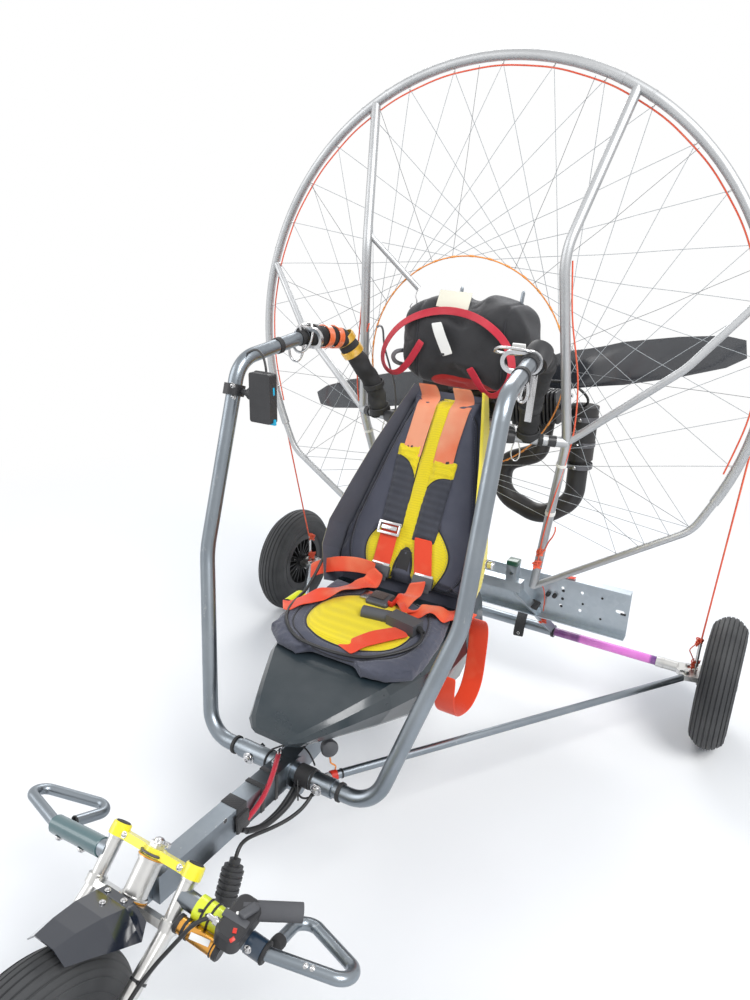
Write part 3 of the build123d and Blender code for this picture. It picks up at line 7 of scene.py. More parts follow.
from contextlib import contextmanager
from math import cos, pi, radians, sin, sqrt

import bmesh
import bpy
from mathutils import Matrix, Vector
from mathutils.bvhtree import BVHTree


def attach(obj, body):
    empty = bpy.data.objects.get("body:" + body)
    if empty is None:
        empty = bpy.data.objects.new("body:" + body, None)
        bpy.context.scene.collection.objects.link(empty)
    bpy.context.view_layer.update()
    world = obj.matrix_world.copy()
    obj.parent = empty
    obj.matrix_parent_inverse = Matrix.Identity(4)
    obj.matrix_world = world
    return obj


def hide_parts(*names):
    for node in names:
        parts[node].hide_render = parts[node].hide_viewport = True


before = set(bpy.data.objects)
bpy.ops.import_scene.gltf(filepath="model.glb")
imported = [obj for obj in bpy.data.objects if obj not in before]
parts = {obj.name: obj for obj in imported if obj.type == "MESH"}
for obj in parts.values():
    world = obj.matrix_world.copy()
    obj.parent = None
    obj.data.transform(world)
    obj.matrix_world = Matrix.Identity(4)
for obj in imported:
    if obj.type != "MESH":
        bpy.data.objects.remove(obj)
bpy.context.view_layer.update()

# %% [markdown]
# ## Small helpers for finishes
# Every finish starts from one Principled shader. Three things make it look real: colour that
# drifts a little, gloss that isn't even, and a fine relief. Each helper below adds one of
# them from a noise or wave that reads Object coordinates, so it stays on the piece.

# %% Nodes and links
def link(made, start, end):
    """Joins two sockets in the nodes of a material or world."""
    made.node_tree.links.new(start, end)


def add_node(made, kind, **fixed):
    """A shader node with some of its sockets set; _ stands for a space in their names."""
    node = made.node_tree.nodes.new("ShaderNode" + kind)
    for socket, value in fixed.items():
        node.inputs[socket.replace("_", " ")].default_value = value
    return node


def pattern(made, kind, source="Object", **fixed):
    """A node that reads the piece's own coordinates."""
    node = add_node(made, kind, **fixed)
    link(made, add_node(made, "TexCoord").outputs[source], node.inputs[0])
    return node


def combine(made, first, second, operation="MULTIPLY"):
    """Two patterns, or a pattern and a number, put through one sum."""
    sum_node = add_node(made, "Math")
    sum_node.operation = operation
    for socket, value in zip(sum_node.inputs, (first, second)):
        if isinstance(value, (int, float)):
            socket.default_value = value
        else:
            link(made, value, socket)
    return sum_node.outputs[0]


def shader_of(made):
    """The inputs of a material's one shader."""
    return made.node_tree.nodes["Principled BSDF"].inputs


print("node helpers ready")

# %% Finish helpers
def plain_finish(name, colour, roughness, metallic=0.0, **fixed):
    """A material with one shader, and some of its sockets set."""
    made = bpy.data.materials.new(name)
    made.use_nodes = True
    fixed.update(Base_Color=(*colour, 1), Roughness=roughness, Metallic=metallic)
    for socket, value in fixed.items():
        shader_of(made)[socket.replace("_", " ")].default_value = value
    made.diffuse_color = (*colour, 1)
    return made


def noise(made, scale, stretch=(1, 1, 1), detail=4.0, roughness=0.55):
    """Cloudy grey noise, finer with scale, and drawn out along an axis by a small stretch."""
    turn = pattern(made, "Mapping", Scale=stretch)
    cloud = add_node(made, "TexNoise", Scale=scale, Detail=detail, Roughness=roughness)
    link(made, turn.outputs[0], cloud.inputs["Vector"])
    return cloud.outputs["Fac"]


def ramp(made, factor, low, high):
    """The part of a pattern between low and high, drawn out to 0 and 1."""
    stretch = add_node(made, "MapRange", From_Min=low, From_Max=high)
    link(made, factor, stretch.inputs["Value"])
    return stretch.outputs[0]


def colour_over(made, mask, colour):
    """Lays another colour over the finish where the mask is bright."""
    shader = shader_of(made)["Base Color"]
    mix = add_node(made, "Mix")
    mix.data_type = "RGBA"
    if shader.links:
        link(made, shader.links[0].from_socket, mix.inputs[6])
    else:
        mix.inputs[6].default_value = shader.default_value
    mix.inputs[7].default_value = (*colour, 1)
    link(made, mask, mix.inputs[0])
    link(made, mix.outputs[2], shader)


def tint(made, factor, low, high, amount, colour):
    """Lays a colour where a pattern runs from low to high, by at most an amount."""
    colour_over(made, combine(made, ramp(made, factor, low, high), amount), colour)


def gloss_from(made, factor, smooth, rough):
    """Roughness that drifts between two values."""
    spread = add_node(made, "MapRange", To_Min=smooth, To_Max=rough)
    link(made, factor, spread.inputs["Value"])
    link(made, spread.outputs[0], shader_of(made)["Roughness"])


def relief(made, factor, depth, strength=1.0):
    """Bumps of a real depth in metres, on top of any that are there."""
    shader = shader_of(made)["Normal"]
    bump = add_node(made, "Bump", Strength=strength, Distance=depth)
    link(made, factor, bump.inputs["Height"])
    if shader.links:
        link(made, shader.links[0].from_socket, bump.inputs["Normal"])
    link(made, bump.outputs[0], shader)


def background_rays(made):
    """1 for the rays that show the white background: camera, gloss and glass rays."""
    rays = add_node(made, "LightPath").outputs
    seen = combine(made, rays["Is Camera Ray"], rays["Is Glossy Ray"], "MAXIMUM")
    return combine(made, seen, rays["Is Transmission Ray"], "MAXIMUM")


print("finish helpers ready")

# %% [markdown]
# ## Camera, floor and light
# The photograph was taken from standing height with a wide phone lens, ahead of the trike
# and to its left. The camera's place, turn and lens were solved from the wheels and hoops.
# The light is a plain soft studio: three large lamps and a pale world. The white background
# is only a colour that the camera, gloss and glass rays see, so it adds no light.

# %% Camera
def in_scene(name, data):
    """A new object in the scene."""
    made = bpy.data.objects.new(name, data)
    bpy.context.scene.collection.objects.link(made)
    return made


PHOTO_CAMERA = (0.81, -1.255, 1.433)
PHOTO_YAW, PHOTO_PITCH, PHOTO_ROLL = radians(30.05), radians(20.36), radians(1.66)
forward = Vector((-sin(PHOTO_YAW) * cos(PHOTO_PITCH), cos(PHOTO_YAW) * cos(PHOTO_PITCH),
    -sin(PHOTO_PITCH)))
across = Vector((cos(PHOTO_YAW), sin(PHOTO_YAW), 0))
upward = across.cross(forward)
level = Matrix((across, upward, -forward)).transposed()
camera_data = bpy.data.cameras.new("photo_camera")
camera_data.lens = 26.44
camera_data.sensor_width = 36
camera = in_scene("photo_camera", camera_data)
turned = level @ Matrix.Rotation(PHOTO_ROLL, 3, "Z")
camera.matrix_world = Matrix.Translation(PHOTO_CAMERA) @ turned.to_4x4()
camera_data.clip_start, camera_data.clip_end = 0.02, 60
bpy.context.scene.camera = camera
bpy.context.scene.view_settings.view_transform = "Standard"
print("camera at", PHOTO_CAMERA)

# %% Lamps and world
LAMPS_AIM = Vector((0, 0.1, 0.7))
LAMPS = (  # name, place, size, watts
    ("key_lamp", (3.4, -1.4, 4.6), 2.6, 250),
    ("fill_lamp", (-3.6, -2.6, 3.0), 3.4, 90),
    ("rim_lamp", (-1.6, 4.2, 3.6), 2.8, 110))
for name, place, size, watts in LAMPS:
    data = bpy.data.lights.new(name, "AREA")
    data.size, data.energy = size, watts
    aim = (LAMPS_AIM - Vector(place)).to_track_quat("-Z", "Y").to_matrix().to_4x4()
    in_scene(name, data).matrix_world = Matrix.Translation(place) @ aim
world = bpy.data.worlds.new("studio")
bpy.context.scene.world = world
world.use_nodes = True
sky = world.node_tree.nodes["Background"]
sky.inputs["Color"].default_value = (0.8, 0.87, 1.0, 1)
sky.inputs["Strength"].default_value = 0.55
backdrop = add_node(world, "Background", Color=(1, 1, 1, 1))
swap = add_node(world, "MixShader")
for socket, source in zip(swap.inputs, (background_rays(world), sky.outputs[0], backdrop.outputs[0])):
    link(world, source, socket)
link(world, swap.outputs[0], world.node_tree.nodes["World Output"].inputs["Surface"])
print(len(LAMPS), "lamps")

# %% [markdown]
# ## Metals
# The cabin tubes are clear anodised: dark, satin, with drawn lines and light scuffs. The
# cage is bare bright alloy. Forgings and nuts are machined, and the channel is galvanised
# sheet, whose zinc shows as faint flakes. Paints are clean with a clear coat and small chips.

# %% Metal finishes
def drawn_metal(name, colour, roughness, dull=(0.3, 0.3, 0.31), grain=900.0, worn=0.5):
    """Tube stock: drawn lines, cloudy oxide, and pale scuffs."""
    made = plain_finish(name, colour, roughness, metallic=1.0)
    cloud = noise(made, 9, detail=5)
    tint(made, cloud, 0.35, 0.75, 0.55, dull)
    scuff = ramp(made, noise(made, 60, (1, 1, 0.25), detail=6, roughness=0.7), 0.63, 0.72)
    colour_over(made, combine(made, scuff, worn), (0.62, 0.63, 0.64))
    gloss_from(made, combine(made, cloud, combine(made, scuff, 0.6 * worn), "ADD"), roughness - 0.1,
        roughness + 0.16)
    relief(made, noise(made, grain, (1, 1, 0.12), detail=2), 0.00004, 0.5)
    return made


def painted(name, colour, roughness, chip, coat=0.7):
    """Gloss paint with orange peel, a little dust, and worn spots."""
    made = plain_finish(name, colour, roughness, Coat_Weight=coat, Coat_Roughness=0.09)
    tint(made, noise(made, 14), 0.4, 0.8, 0.35, tuple(0.82 * part + 0.1 for part in colour))
    tint(made, noise(made, 130, detail=8, roughness=0.75), 0.69, 0.71, 0.85, chip)
    gloss_from(made, noise(made, 25), roughness - 0.06, roughness + 0.12)
    relief(made, noise(made, 450, detail=1), 0.00003, 0.4)
    return made


frame_tube = drawn_metal("frame_tube", (0.27, 0.3, 0.33), 0.3, dull=(0.15, 0.175, 0.2))
cage_tube = drawn_metal("cage_tube", (0.5, 0.51, 0.52), 0.46, dull=(0.34, 0.35, 0.36), grain=25.0,
    worn=0.15)
machined = drawn_metal("machined", (0.7, 0.7, 0.69), 0.27, dull=(0.44, 0.43, 0.41))
bright_steel = drawn_metal("bright_steel", (0.64, 0.64, 0.65), 0.2, dull=(0.36, 0.36, 0.36))
dark_steel = drawn_metal("dark_steel", (0.16, 0.16, 0.17), 0.38, dull=(0.09, 0.09, 0.1))
gold_alloy = drawn_metal("gold_alloy", (0.8, 0.4, 0.09), 0.26, dull=(0.55, 0.25, 0.05))
yellow_paint = painted("yellow_paint", (0.9, 0.78, 0.02), 0.32, (0.55, 0.5, 0.3))
lime_paint = painted("lime_paint", (0.7, 0.8, 0.02), 0.33, (0.5, 0.55, 0.3))
teal_sleeve = painted("teal_sleeve", (0.045, 0.115, 0.125), 0.3, (0.35, 0.38, 0.38))
navy_sleeve = painted("navy_sleeve", (0.012, 0.03, 0.055), 0.28, (0.2, 0.25, 0.3))
green_cap = painted("green_cap", (0.012, 0.075, 0.045), 0.3, (0.1, 0.2, 0.15))

galvanised = plain_finish("galvanised", (0.48, 0.53, 0.57), 0.36, metallic=0.85)
flakes = pattern(galvanised, "TexVoronoi", Scale=85)
flake_shade = add_node(galvanised, "SeparateColor")
link(galvanised, flakes.outputs["Color"], flake_shade.inputs[0])
colour_over(galvanised, combine(galvanised, flake_shade.outputs[0], 0.35), (0.37, 0.43, 0.48))
tint(galvanised, noise(galvanised, 6), 0.5, 0.8, 0.5, (0.42, 0.45, 0.47))
gloss_from(galvanised, flake_shade.outputs[1], 0.28, 0.46)
relief(galvanised, noise(galvanised, 70), 0.00005, 0.4)
print("metals ready")

# %% [markdown]
# ## Plastics, rubber and composites
# The tub under the cushions is a glossy moulding, dusty on top. The tyres have gone grey,
# more so on the ribs. The propeller is carbon under lacquer. The pink rod is a fibre rod with
# painted shade: it is darker near the middle and far out, by its distance along the axle.

# %% Moulded finishes
def moulded(name, colour, roughness, dust=0.25, coat=0.0, peel=0.00005, pale=None):
    """Moulded plastic: faint flow marks, dust and small scratches."""
    made = plain_finish(name, colour, roughness, Coat_Weight=coat, Coat_Roughness=0.12)
    haze = pale or tuple(part * 0.7 + 0.16 for part in colour)
    tint(made, noise(made, 7, detail=7), 0.42, 0.85, dust, haze)
    tint(made, noise(made, 45, (1, 0.15, 1), detail=8, roughness=0.8), 0.66, 0.72, dust * 0.8, haze)
    gloss_from(made, noise(made, 12, detail=6), roughness - 0.08, roughness + 0.14)
    relief(made, noise(made, 600, detail=2), peel, 0.5)
    return made


seat_black = moulded("seat_black", (0.01, 0.02, 0.026), 0.27, dust=0.2, coat=0.35)
mudguard_black = moulded("mudguard_black", (0.006, 0.01, 0.02), 0.12, dust=0.08, coat=1.0)
black_plastic = moulded("black_plastic", (0.018, 0.018, 0.02), 0.42, dust=0.22)
grey_plastic = moulded("grey_plastic", (0.07, 0.072, 0.078), 0.46, dust=0.2)
rim_black = moulded("rim_black", (0.012, 0.012, 0.013), 0.4, dust=0.3)
rubber = moulded("rubber", (0.014, 0.014, 0.015), 0.62, dust=0.18)
white_card = moulded("white_card", (0.84, 0.83, 0.78), 0.55, dust=0.2, pale=(0.62, 0.6, 0.55))
cream_card = moulded("cream_card", (0.78, 0.74, 0.6), 0.6, dust=0.2, pale=(0.62, 0.6, 0.52))
cyan_plastic = moulded("cyan_plastic", (0.01, 0.4, 0.62), 0.35, dust=0.1)
red_plastic = moulded("red_plastic", (0.62, 0.03, 0.015), 0.38, dust=0.1)
engine_black = moulded("engine_black", (0.022, 0.022, 0.024), 0.46, dust=0.3, peel=0.0002)
exhaust_black = moulded("exhaust_black", (0.014, 0.014, 0.015), 0.5, dust=0.35, peel=0.0002,
    pale=(0.1, 0.075, 0.06))
grip_foam = moulded("grip_foam", (0.085, 0.085, 0.09), 0.85, dust=0.3, peel=0.0004)
tyre_rubber = moulded("tyre_rubber", (0.03, 0.031, 0.033), 0.66, dust=0.35, peel=0.0003,
    pale=(0.17, 0.17, 0.165))
arm_foam = moulded("arm_foam", (0.01, 0.01, 0.011), 0.8, dust=0.25, peel=0.0006)

blade_carbon = moulded("blade_carbon", (0.02, 0.022, 0.026), 0.2, dust=0.12, coat=1.0)
twill = pattern(blade_carbon, "TexWave", Scale=260)
twill.bands_direction = "DIAGONAL"
colour_over(blade_carbon, combine(blade_carbon, twill.outputs["Fac"], 0.35), (0.05, 0.055, 0.065))

pink_rod = plain_finish("pink_rod", (0.78, 0.2, 0.66), 0.22, Coat_Weight=0.5, Coat_Roughness=0.1)
from_middle = combine(pink_rod, pattern(pink_rod, "SeparateXYZ").outputs[0], 0, "ABSOLUTE")
# Painted shade: darker within 0.352 m of the rod's middle and beyond 0.58 m out.
colour_over(pink_rod, ramp(pink_rod, from_middle, 0.362, 0.352), (0.22, 0.06, 0.24))
colour_over(pink_rod, ramp(pink_rod, from_middle, 0.572, 0.58), (0.14, 0.03, 0.22))
tint(pink_rod, noise(pink_rod, 30), 0.45, 0.8, 0.3, (0.9, 0.45, 0.8))
gloss_from(pink_rod, noise(pink_rod, 60, (0.1, 1, 1)), 0.16, 0.34)
relief(pink_rod, noise(pink_rod, 500, (0.05, 1, 1)), 0.00004, 0.5)
print("mouldings ready")

# %% [markdown]
# ## Floor
# A plain pale floor, matt under the trike, so that it keeps the soft shadow of every tube.
# Farther out, camera and gloss rays see it turn into the white background.

# %% Floor
MATT_TO, WHITE_FROM = 1.9, 3.6  # metres from the middle
floor_shape = bmesh.new()
bmesh.ops.create_grid(floor_shape, x_segments=2, y_segments=2, size=30)
floor_mesh = bpy.data.meshes.new("floor")
floor_shape.to_mesh(floor_mesh)
floor_shape.free()
floor = in_scene("floor", floor_mesh)
floor.location.z = -0.0006
floor_white = plain_finish("floor_white", (0.86, 0.86, 0.85), 0.85)
floor_mesh.materials.append(floor_white)
reach = pattern(floor_white, "VectorMath")
reach.operation = "LENGTH"
away = add_node(floor_white, "MapRange", From_Min=MATT_TO, From_Max=WHITE_FROM)
away.interpolation_type = "SMOOTHSTEP"
link(floor_white, reach.outputs["Value"], away.inputs["Value"])
fade = combine(floor_white, away.outputs[0], background_rays(floor_white))
paper = add_node(floor_white, "Emission", Color=(1, 1, 1, 1), Strength=1.0)
blend = add_node(floor_white, "MixShader")
matt = floor_white.node_tree.nodes["Principled BSDF"]
for socket, source in zip(blend.inputs, (fade, matt.outputs[0], paper.outputs[0])):
    link(floor_white, source, socket)
link(floor_white, blend.outputs[0], floor_white.node_tree.nodes["Material Output"].inputs["Surface"])
print("floor laid")

# %% [markdown]
# ## Cloth and webbing
# Seat-belt webbing is woven in fine ribs that run across it, and it fades where the sun
# reaches it. The cushions are a smooth dark cover with a yellow spacer mesh let in. Where
# one cloth stops and the next starts is stored on the mesh as a distance in metres to the
# seam, so the edge stays crisp however fine or coarse the mesh is.

# %% Cloth finishes
def weave_of(made, scale, direction="X", source="UV", turn=(0, 0, 0)):
    """Fine parallel ribs, from a wave on the UV map or on Object coordinates."""
    aim = pattern(made, "Mapping", source, Rotation=turn)
    ribs = add_node(made, "TexWave", Scale=scale, Distortion=0.4)
    ribs.bands_direction = direction
    link(made, aim.outputs[0], ribs.inputs["Vector"])
    return ribs.outputs["Fac"]


def webbing_finish(name, colour, faded, fade_from=0.62, fade_to=0.8):
    """Ribbed webbing. Its UV map is in metres, u across and v along."""
    made = plain_finish(name, colour, 0.62, Sheen_Weight=0.35, Sheen_Roughness=0.4)
    tint(made, noise(made, 7, detail=3), fade_from - 0.12, fade_to, 0.7, faded)
    ribs = weave_of(made, 210, "Y")
    pairs = weave_of(made, 95, "X")
    colour_over(made, combine(made, ribs, 0.22), tuple(part * 0.45 for part in colour))
    gloss_from(made, ribs, 0.5, 0.72)
    relief(made, ribs, 0.0003, 0.6)
    relief(made, pairs, 0.0002, 0.5)
    return made


def cloth_finish(name, colour, pale, scale=420.0, depth=0.00025, sheen=0.25):
    """Plain woven cloth, from two crossed waves on Object coordinates."""
    made = plain_finish(name, colour, 0.78, Sheen_Weight=sheen, Sheen_Roughness=0.5)
    tint(made, noise(made, 11, detail=6), 0.4, 0.8, 0.4, pale)
    warp = weave_of(made, scale, "X", "Object", (0.3, 0.2, 0.1))
    weft = weave_of(made, scale, "Z", "Object", (0.2, 0.1, 0.3))
    mat_weave = combine(made, warp, weft)
    colour_over(made, combine(made, mat_weave, 0.25), tuple(part * 0.5 for part in colour))
    gloss_from(made, noise(made, 40), 0.66, 0.88)
    relief(made, mat_weave, depth, 0.6)
    relief(made, noise(made, 30, detail=5), 0.0012, 0.35)
    return made


def panel_mask(made, layer, edge=0.0006):
    """1 inside a panel and 0 outside, from the seam distance stored on the mesh."""
    stored = add_node(made, "Attribute")
    stored.attribute_name = layer
    return ramp(made, stored.outputs["Fac"], -edge, edge)


MESH_YELLOW = (0.88, 0.7, 0.005)
webbing = webbing_finish("webbing", (0.86, 0.06, 0.012), (0.92, 0.36, 0.17))
webbing_pale = webbing_finish("webbing_pale", (0.88, 0.16, 0.05), (0.93, 0.47, 0.28), 0.4, 0.62)
webbing_red = webbing_finish("webbing_red", (0.56, 0.012, 0.035), (0.7, 0.09, 0.1))
bag_cloth = cloth_finish("bag_cloth", (0.013, 0.013, 0.015), (0.04, 0.04, 0.044), 330, 0.0003)
black_cloth = cloth_finish("black_cloth", (0.01, 0.01, 0.011), (0.03, 0.03, 0.032), 300)


def cover_finish(name, colour, pale, fold=0.0015):
    """Cushion cover: grey cloth, with yellow mesh inside the panel seam."""
    made = cloth_finish(name, colour, pale)
    inside = panel_mask(made, "panel")
    holes = pattern(made, "TexVoronoi", Scale=330, Randomness=0.15)
    open_mesh = ramp(made, holes.outputs["Distance"], 0.55, 0.25)
    colour_over(made, inside, MESH_YELLOW)
    # Painted shade: the yellow mesh is darker in its holes, where the relief is low.
    shade = combine(made, combine(made, inside, open_mesh), 0.42)
    colour_over(made, shade, (0.46, 0.33, 0.002))
    soiled = combine(made, ramp(made, noise(made, 16, detail=6), 0.55, 0.8), 0.25)
    colour_over(made, combine(made, inside, soiled), (0.62, 0.52, 0.1))
    relief(made, combine(made, inside, holes.outputs["Distance"]), 0.0005, 0.7)
    relief(made, noise(made, 5.5, detail=2), fold, 0.4)
    return made


cushion_cover = cover_finish("cushion_cover", (0.06, 0.064, 0.09), (0.12, 0.125, 0.16))
pad_cover = cover_finish("pad_cover", (0.03, 0.033, 0.046), (0.085, 0.09, 0.11))
piping = cloth_finish("piping", (0.012, 0.012, 0.016), (0.04, 0.04, 0.05), 600, 0.0001)
thread = cloth_finish("thread", (0.2, 0.2, 0.22), (0.32, 0.32, 0.34), 700, 0.0001)


def cord_finish(name, colour, fleck, scale=420.0):
    """Braided cord, flecked with a second yarn."""
    made = plain_finish(name, colour, 0.6, Sheen_Weight=0.2)
    yarn = weave_of(made, scale, "DIAGONAL", "Object")
    tint(made, yarn, 0.6, 0.8, 0.5, fleck)
    tint(made, noise(made, 25), 0.5, 0.8, 0.4, fleck)
    gloss_from(made, yarn, 0.5, 0.75)
    relief(made, yarn, 0.0002, 0.6)
    return made


yellow_webbing = webbing_finish("yellow_webbing", (0.76, 0.8, 0.01), (0.85, 0.86, 0.12))
belt_brown = cloth_finish("belt_brown", (0.045, 0.028, 0.022), (0.09, 0.06, 0.05), 500)
red_cord = cord_finish("red_cord", (0.78, 0.055, 0.02), (0.9, 0.3, 0.12))
orange_cord = cord_finish("orange_cord", (0.86, 0.24, 0.03), (0.92, 0.55, 0.12))
net_cord = cord_finish("net_cord", (0.3, 0.32, 0.33), (0.5, 0.52, 0.52), 800)
net_dark = cord_finish("net_dark", (0.1, 0.105, 0.11), (0.25, 0.26, 0.26), 800)
cable_black = moulded("cable_black", (0.012, 0.012, 0.013), 0.4, dust=0.15)
hose_grey = moulded("hose_grey", (0.2, 0.2, 0.21), 0.4, dust=0.15)
print("cloth finishes ready")

# %% [markdown]
# ## Small helpers for shapes
# Round fittings are spun from a short profile, which is how a lathe makes the real ones.
# Many small ones are gathered in one mesh, so that a row of bolts is one piece. Straps grow
# from a single edge that is extruded along its route, and cables are curves with a round
# section.

# %% Shape helpers
def placed(name, data, body="frame"):
    """Puts a mesh or curve in the scene, riding on a body."""
    made = in_scene(name, data)
    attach(made, body)
    return made


def shown(name, mesh, finishes, body="frame", sharp=32):
    """Shows a finished mesh, smooth but for its sharp edges."""
    for finish in finishes if isinstance(finishes, (list, tuple)) else [finishes]:
        mesh.materials.append(finish)
    mesh.shade_smooth()
    mesh.set_sharp_from_angle(angle=radians(sharp))
    return placed(name, mesh, body)


def finished(name, shape, finishes, body="frame", sharp=32):
    """Turns a bmesh into a shown piece."""
    mesh = bpy.data.meshes.new(name)
    shape.to_mesh(mesh)
    shape.free()
    return shown(name, mesh, finishes, body, sharp)


def add_shape(group, shape, finish=0):
    """Moves one small shape into a group, with its finish's number."""
    for face in shape.faces:
        face.material_index = finish
    spare = bpy.data.meshes.new("spare")
    shape.to_mesh(spare)
    shape.free()
    group.from_mesh(spare)
    bpy.data.meshes.remove(spare)


print("scene helpers ready")


# %% Turned and boxed fittings
def aimed(at, towards, twist=0.0):
    """The matrix that stands a shape's Z on a direction, at a place."""
    turn = Vector(towards).to_track_quat("Z", "Y").to_matrix().to_4x4()
    return Matrix.Translation(at) @ turn @ Matrix.Rotation(twist, 4, "Z")


def add_turned(group, profile, at, towards, finish=0, steps=20, closed=False):
    """A lathe shape from (along, radius) points; a closed profile makes a ring."""
    shape = bmesh.new()
    points = [shape.verts.new((radius, 0, along)) for along, radius in profile]
    edges = [shape.edges.new(pair) for pair in zip(points, points[1:])]
    if closed:
        edges.append(shape.edges.new((points[-1], points[0])))
    bmesh.ops.spin(shape, geom=points + edges, cent=(0, 0, 0), axis=(0, 0, 1), angle=2 * pi,
        steps=steps, use_merge=True)
    bmesh.ops.remove_doubles(shape, verts=shape.verts, dist=1e-6)
    bmesh.ops.recalc_face_normals(shape, faces=shape.faces)
    bmesh.ops.transform(shape, matrix=aimed(at, towards), verts=shape.verts)
    add_shape(group, shape, finish)


def add_ring(group, at, towards, inner, thick, width, finish=0, steps=28):
    """A band round a tube: a rubber ring, a strap or a collar."""
    outer, half, soft = inner + thick, width / 2, min(thick, width) * 0.3
    profile = [(-half, inner), (-half, outer - soft), (-half + soft, outer), (half - soft, outer),
        (half, outer - soft), (half, inner)]
    add_turned(group, profile, at, towards, finish, steps, closed=True)


def add_block(group, size, at, towards=(0, 0, 1), finish=0, twist=0.0, edge=0.3, steps=2):
    """A small block with rounded edges."""
    shape = bmesh.new()
    bmesh.ops.create_cube(shape, size=1)
    bmesh.ops.scale(shape, vec=size, verts=shape.verts)
    bmesh.ops.bevel(shape, geom=shape.edges, offset=min(size) * edge, affect="EDGES", segments=steps,
        profile=0.5, material=-1)
    bmesh.ops.transform(shape, matrix=aimed(at, towards, twist), verts=shape.verts)
    add_shape(group, shape, finish)


def add_hex(group, at, towards, across, height, finish=0, hole=0.0):
    """A hexagon nut or bolt head, chamfered as real ones are."""
    shape = bmesh.new()
    bmesh.ops.create_cone(shape, cap_ends=True, segments=6, radius1=across * 0.577,
        radius2=across * 0.577, depth=height)
    bmesh.ops.translate(shape, vec=(0, 0, height / 2), verts=shape.verts)
    bmesh.ops.bevel(shape, geom=[edge for edge in shape.edges if min(end.co.z for end in edge.verts)
        > height * 0.9], offset=height * 0.14, affect="EDGES", segments=1, profile=0.5, material=-1)
    top = max(shape.faces, key=lambda face: face.calc_center_median().z)
    if hole:
        bmesh.ops.inset_individual(shape, faces=[top], thickness=across * (0.5 - hole), depth=0)
        bmesh.ops.inset_individual(shape, faces=[top], thickness=across * 0.01, depth=-height * 0.5)
    bmesh.ops.transform(shape, matrix=aimed(at, towards), verts=shape.verts)
    add_shape(group, shape, finish)


def add_button_bolt(group, at, towards, size, finish=0):
    """A domed bolt with a socket, on a washer."""
    washer, dome = size * 0.68, size * 0.5
    add_turned(group, [(0, 0), (0, washer), (size * 0.1, washer), (size * 0.13, washer * 0.94),
        (size * 0.13, dome), (size * 0.34, dome * 0.93), (size * 0.46, dome * 0.62),
        (size * 0.48, dome * 0.4), (size * 0.3, dome * 0.36), (size * 0.3, 0)], at, towards, finish, 16)


print("fitting helpers ready")


# %% Cables and straps
def add_line(curve, points):
    """One smooth line in a curve, that runs near its points."""
    line = curve.splines.new("NURBS")
    line.points.add(len(points) - 1)
    for point, place in zip(line.points, points):
        point.co = (*place, 1)
    line.order_u = 3
    line.use_endpoint_u = True


def cable(name, points, radius, finish, round_by=3):
    """A fixed cable or cord, round in section."""
    curve = bpy.data.curves.new(name, "CURVE")
    curve.dimensions = "3D"
    curve.bevel_depth, curve.bevel_resolution, curve.use_fill_caps = radius, round_by, True
    curve.resolution_u = 6
    add_line(curve, points)
    curve.materials.append(finish)
    return placed(name, curve)


def strap_shape(route, width):
    """Webbing: a grid laid along (place, across) steps, with UVs in metres."""
    rows = len(route) - 1
    places = [Vector(place) for place, _ in route]
    runs = [0.0]
    for first, last in zip(places, places[1:]):
        runs.append(runs[-1] + (last - first).length)
    shape = bmesh.new()
    uv = shape.loops.layers.uv.new("weave")
    bmesh.ops.create_grid(shape, x_segments=4, y_segments=rows, size=1)
    for vert in shape.verts:
        row = round((vert.co.y + 1) / 2 * rows)
        across = vert.co.x * (2 - abs(vert.co.x)) * 1.04
        for loop in vert.link_loops:
            loop[uv].uv = (width * (across + 1) / 2, runs[row])
        vert.co = places[row] + Vector(route[row][1]).normalized() * (width / 2 * across)
    return shape


def strap(name, route, width, finish, thickness=0.0022):
    """A strap: thick, with rounded edges, and smoothed along its run."""
    made = finished(name, strap_shape(route, width), finish, sharp=60)
    thick = made.modifiers.new("thick", "SOLIDIFY")
    thick.thickness, thick.offset = thickness, 0
    soft = made.modifiers.new("soft", "SUBSURF")
    soft.levels = soft.render_levels = 2
    return made


print("cable and strap helpers ready")

# %% [markdown]
# ## Finishes for the CAD parts
# The CAD solids whose shape is right stay, and only get a better finish here. Tyres, cloth,
# foam and the free cords get new pieces further down.
# The yellow shell is lined with the same grey cover as the cushions: whatever faces inwards
# or ahead is lining, and the rim and the outside stay yellow.

# %% The seat shell's lining
seat_lined = cloth_finish("seat_lined", (0.06, 0.064, 0.09), (0.12, 0.125, 0.16))
sides = pattern(seat_lined, "SeparateXYZ")
facing = pattern(seat_lined, "SeparateXYZ", "Normal")
inward = combine(seat_lined, combine(seat_lined, sides.outputs[0], 0, "SIGN"),
    combine(seat_lined, facing.outputs[0], -0.75))
ahead = combine(seat_lined, facing.outputs[1], -0.66)
lining = ramp(seat_lined, combine(seat_lined, inward, ahead, "ADD"), 0.32, 0.36)
outside = combine(seat_lined, 1.0, lining, "SUBTRACT")
colour_over(seat_lined, outside, (0.8, 0.66, 0.03))
gloss_from(seat_lined, lining, 0.26, 0.78)
link(seat_lined, combine(seat_lined, outside, 0.6), shader_of(seat_lined)["Coat Weight"])
print("seat lining ready")

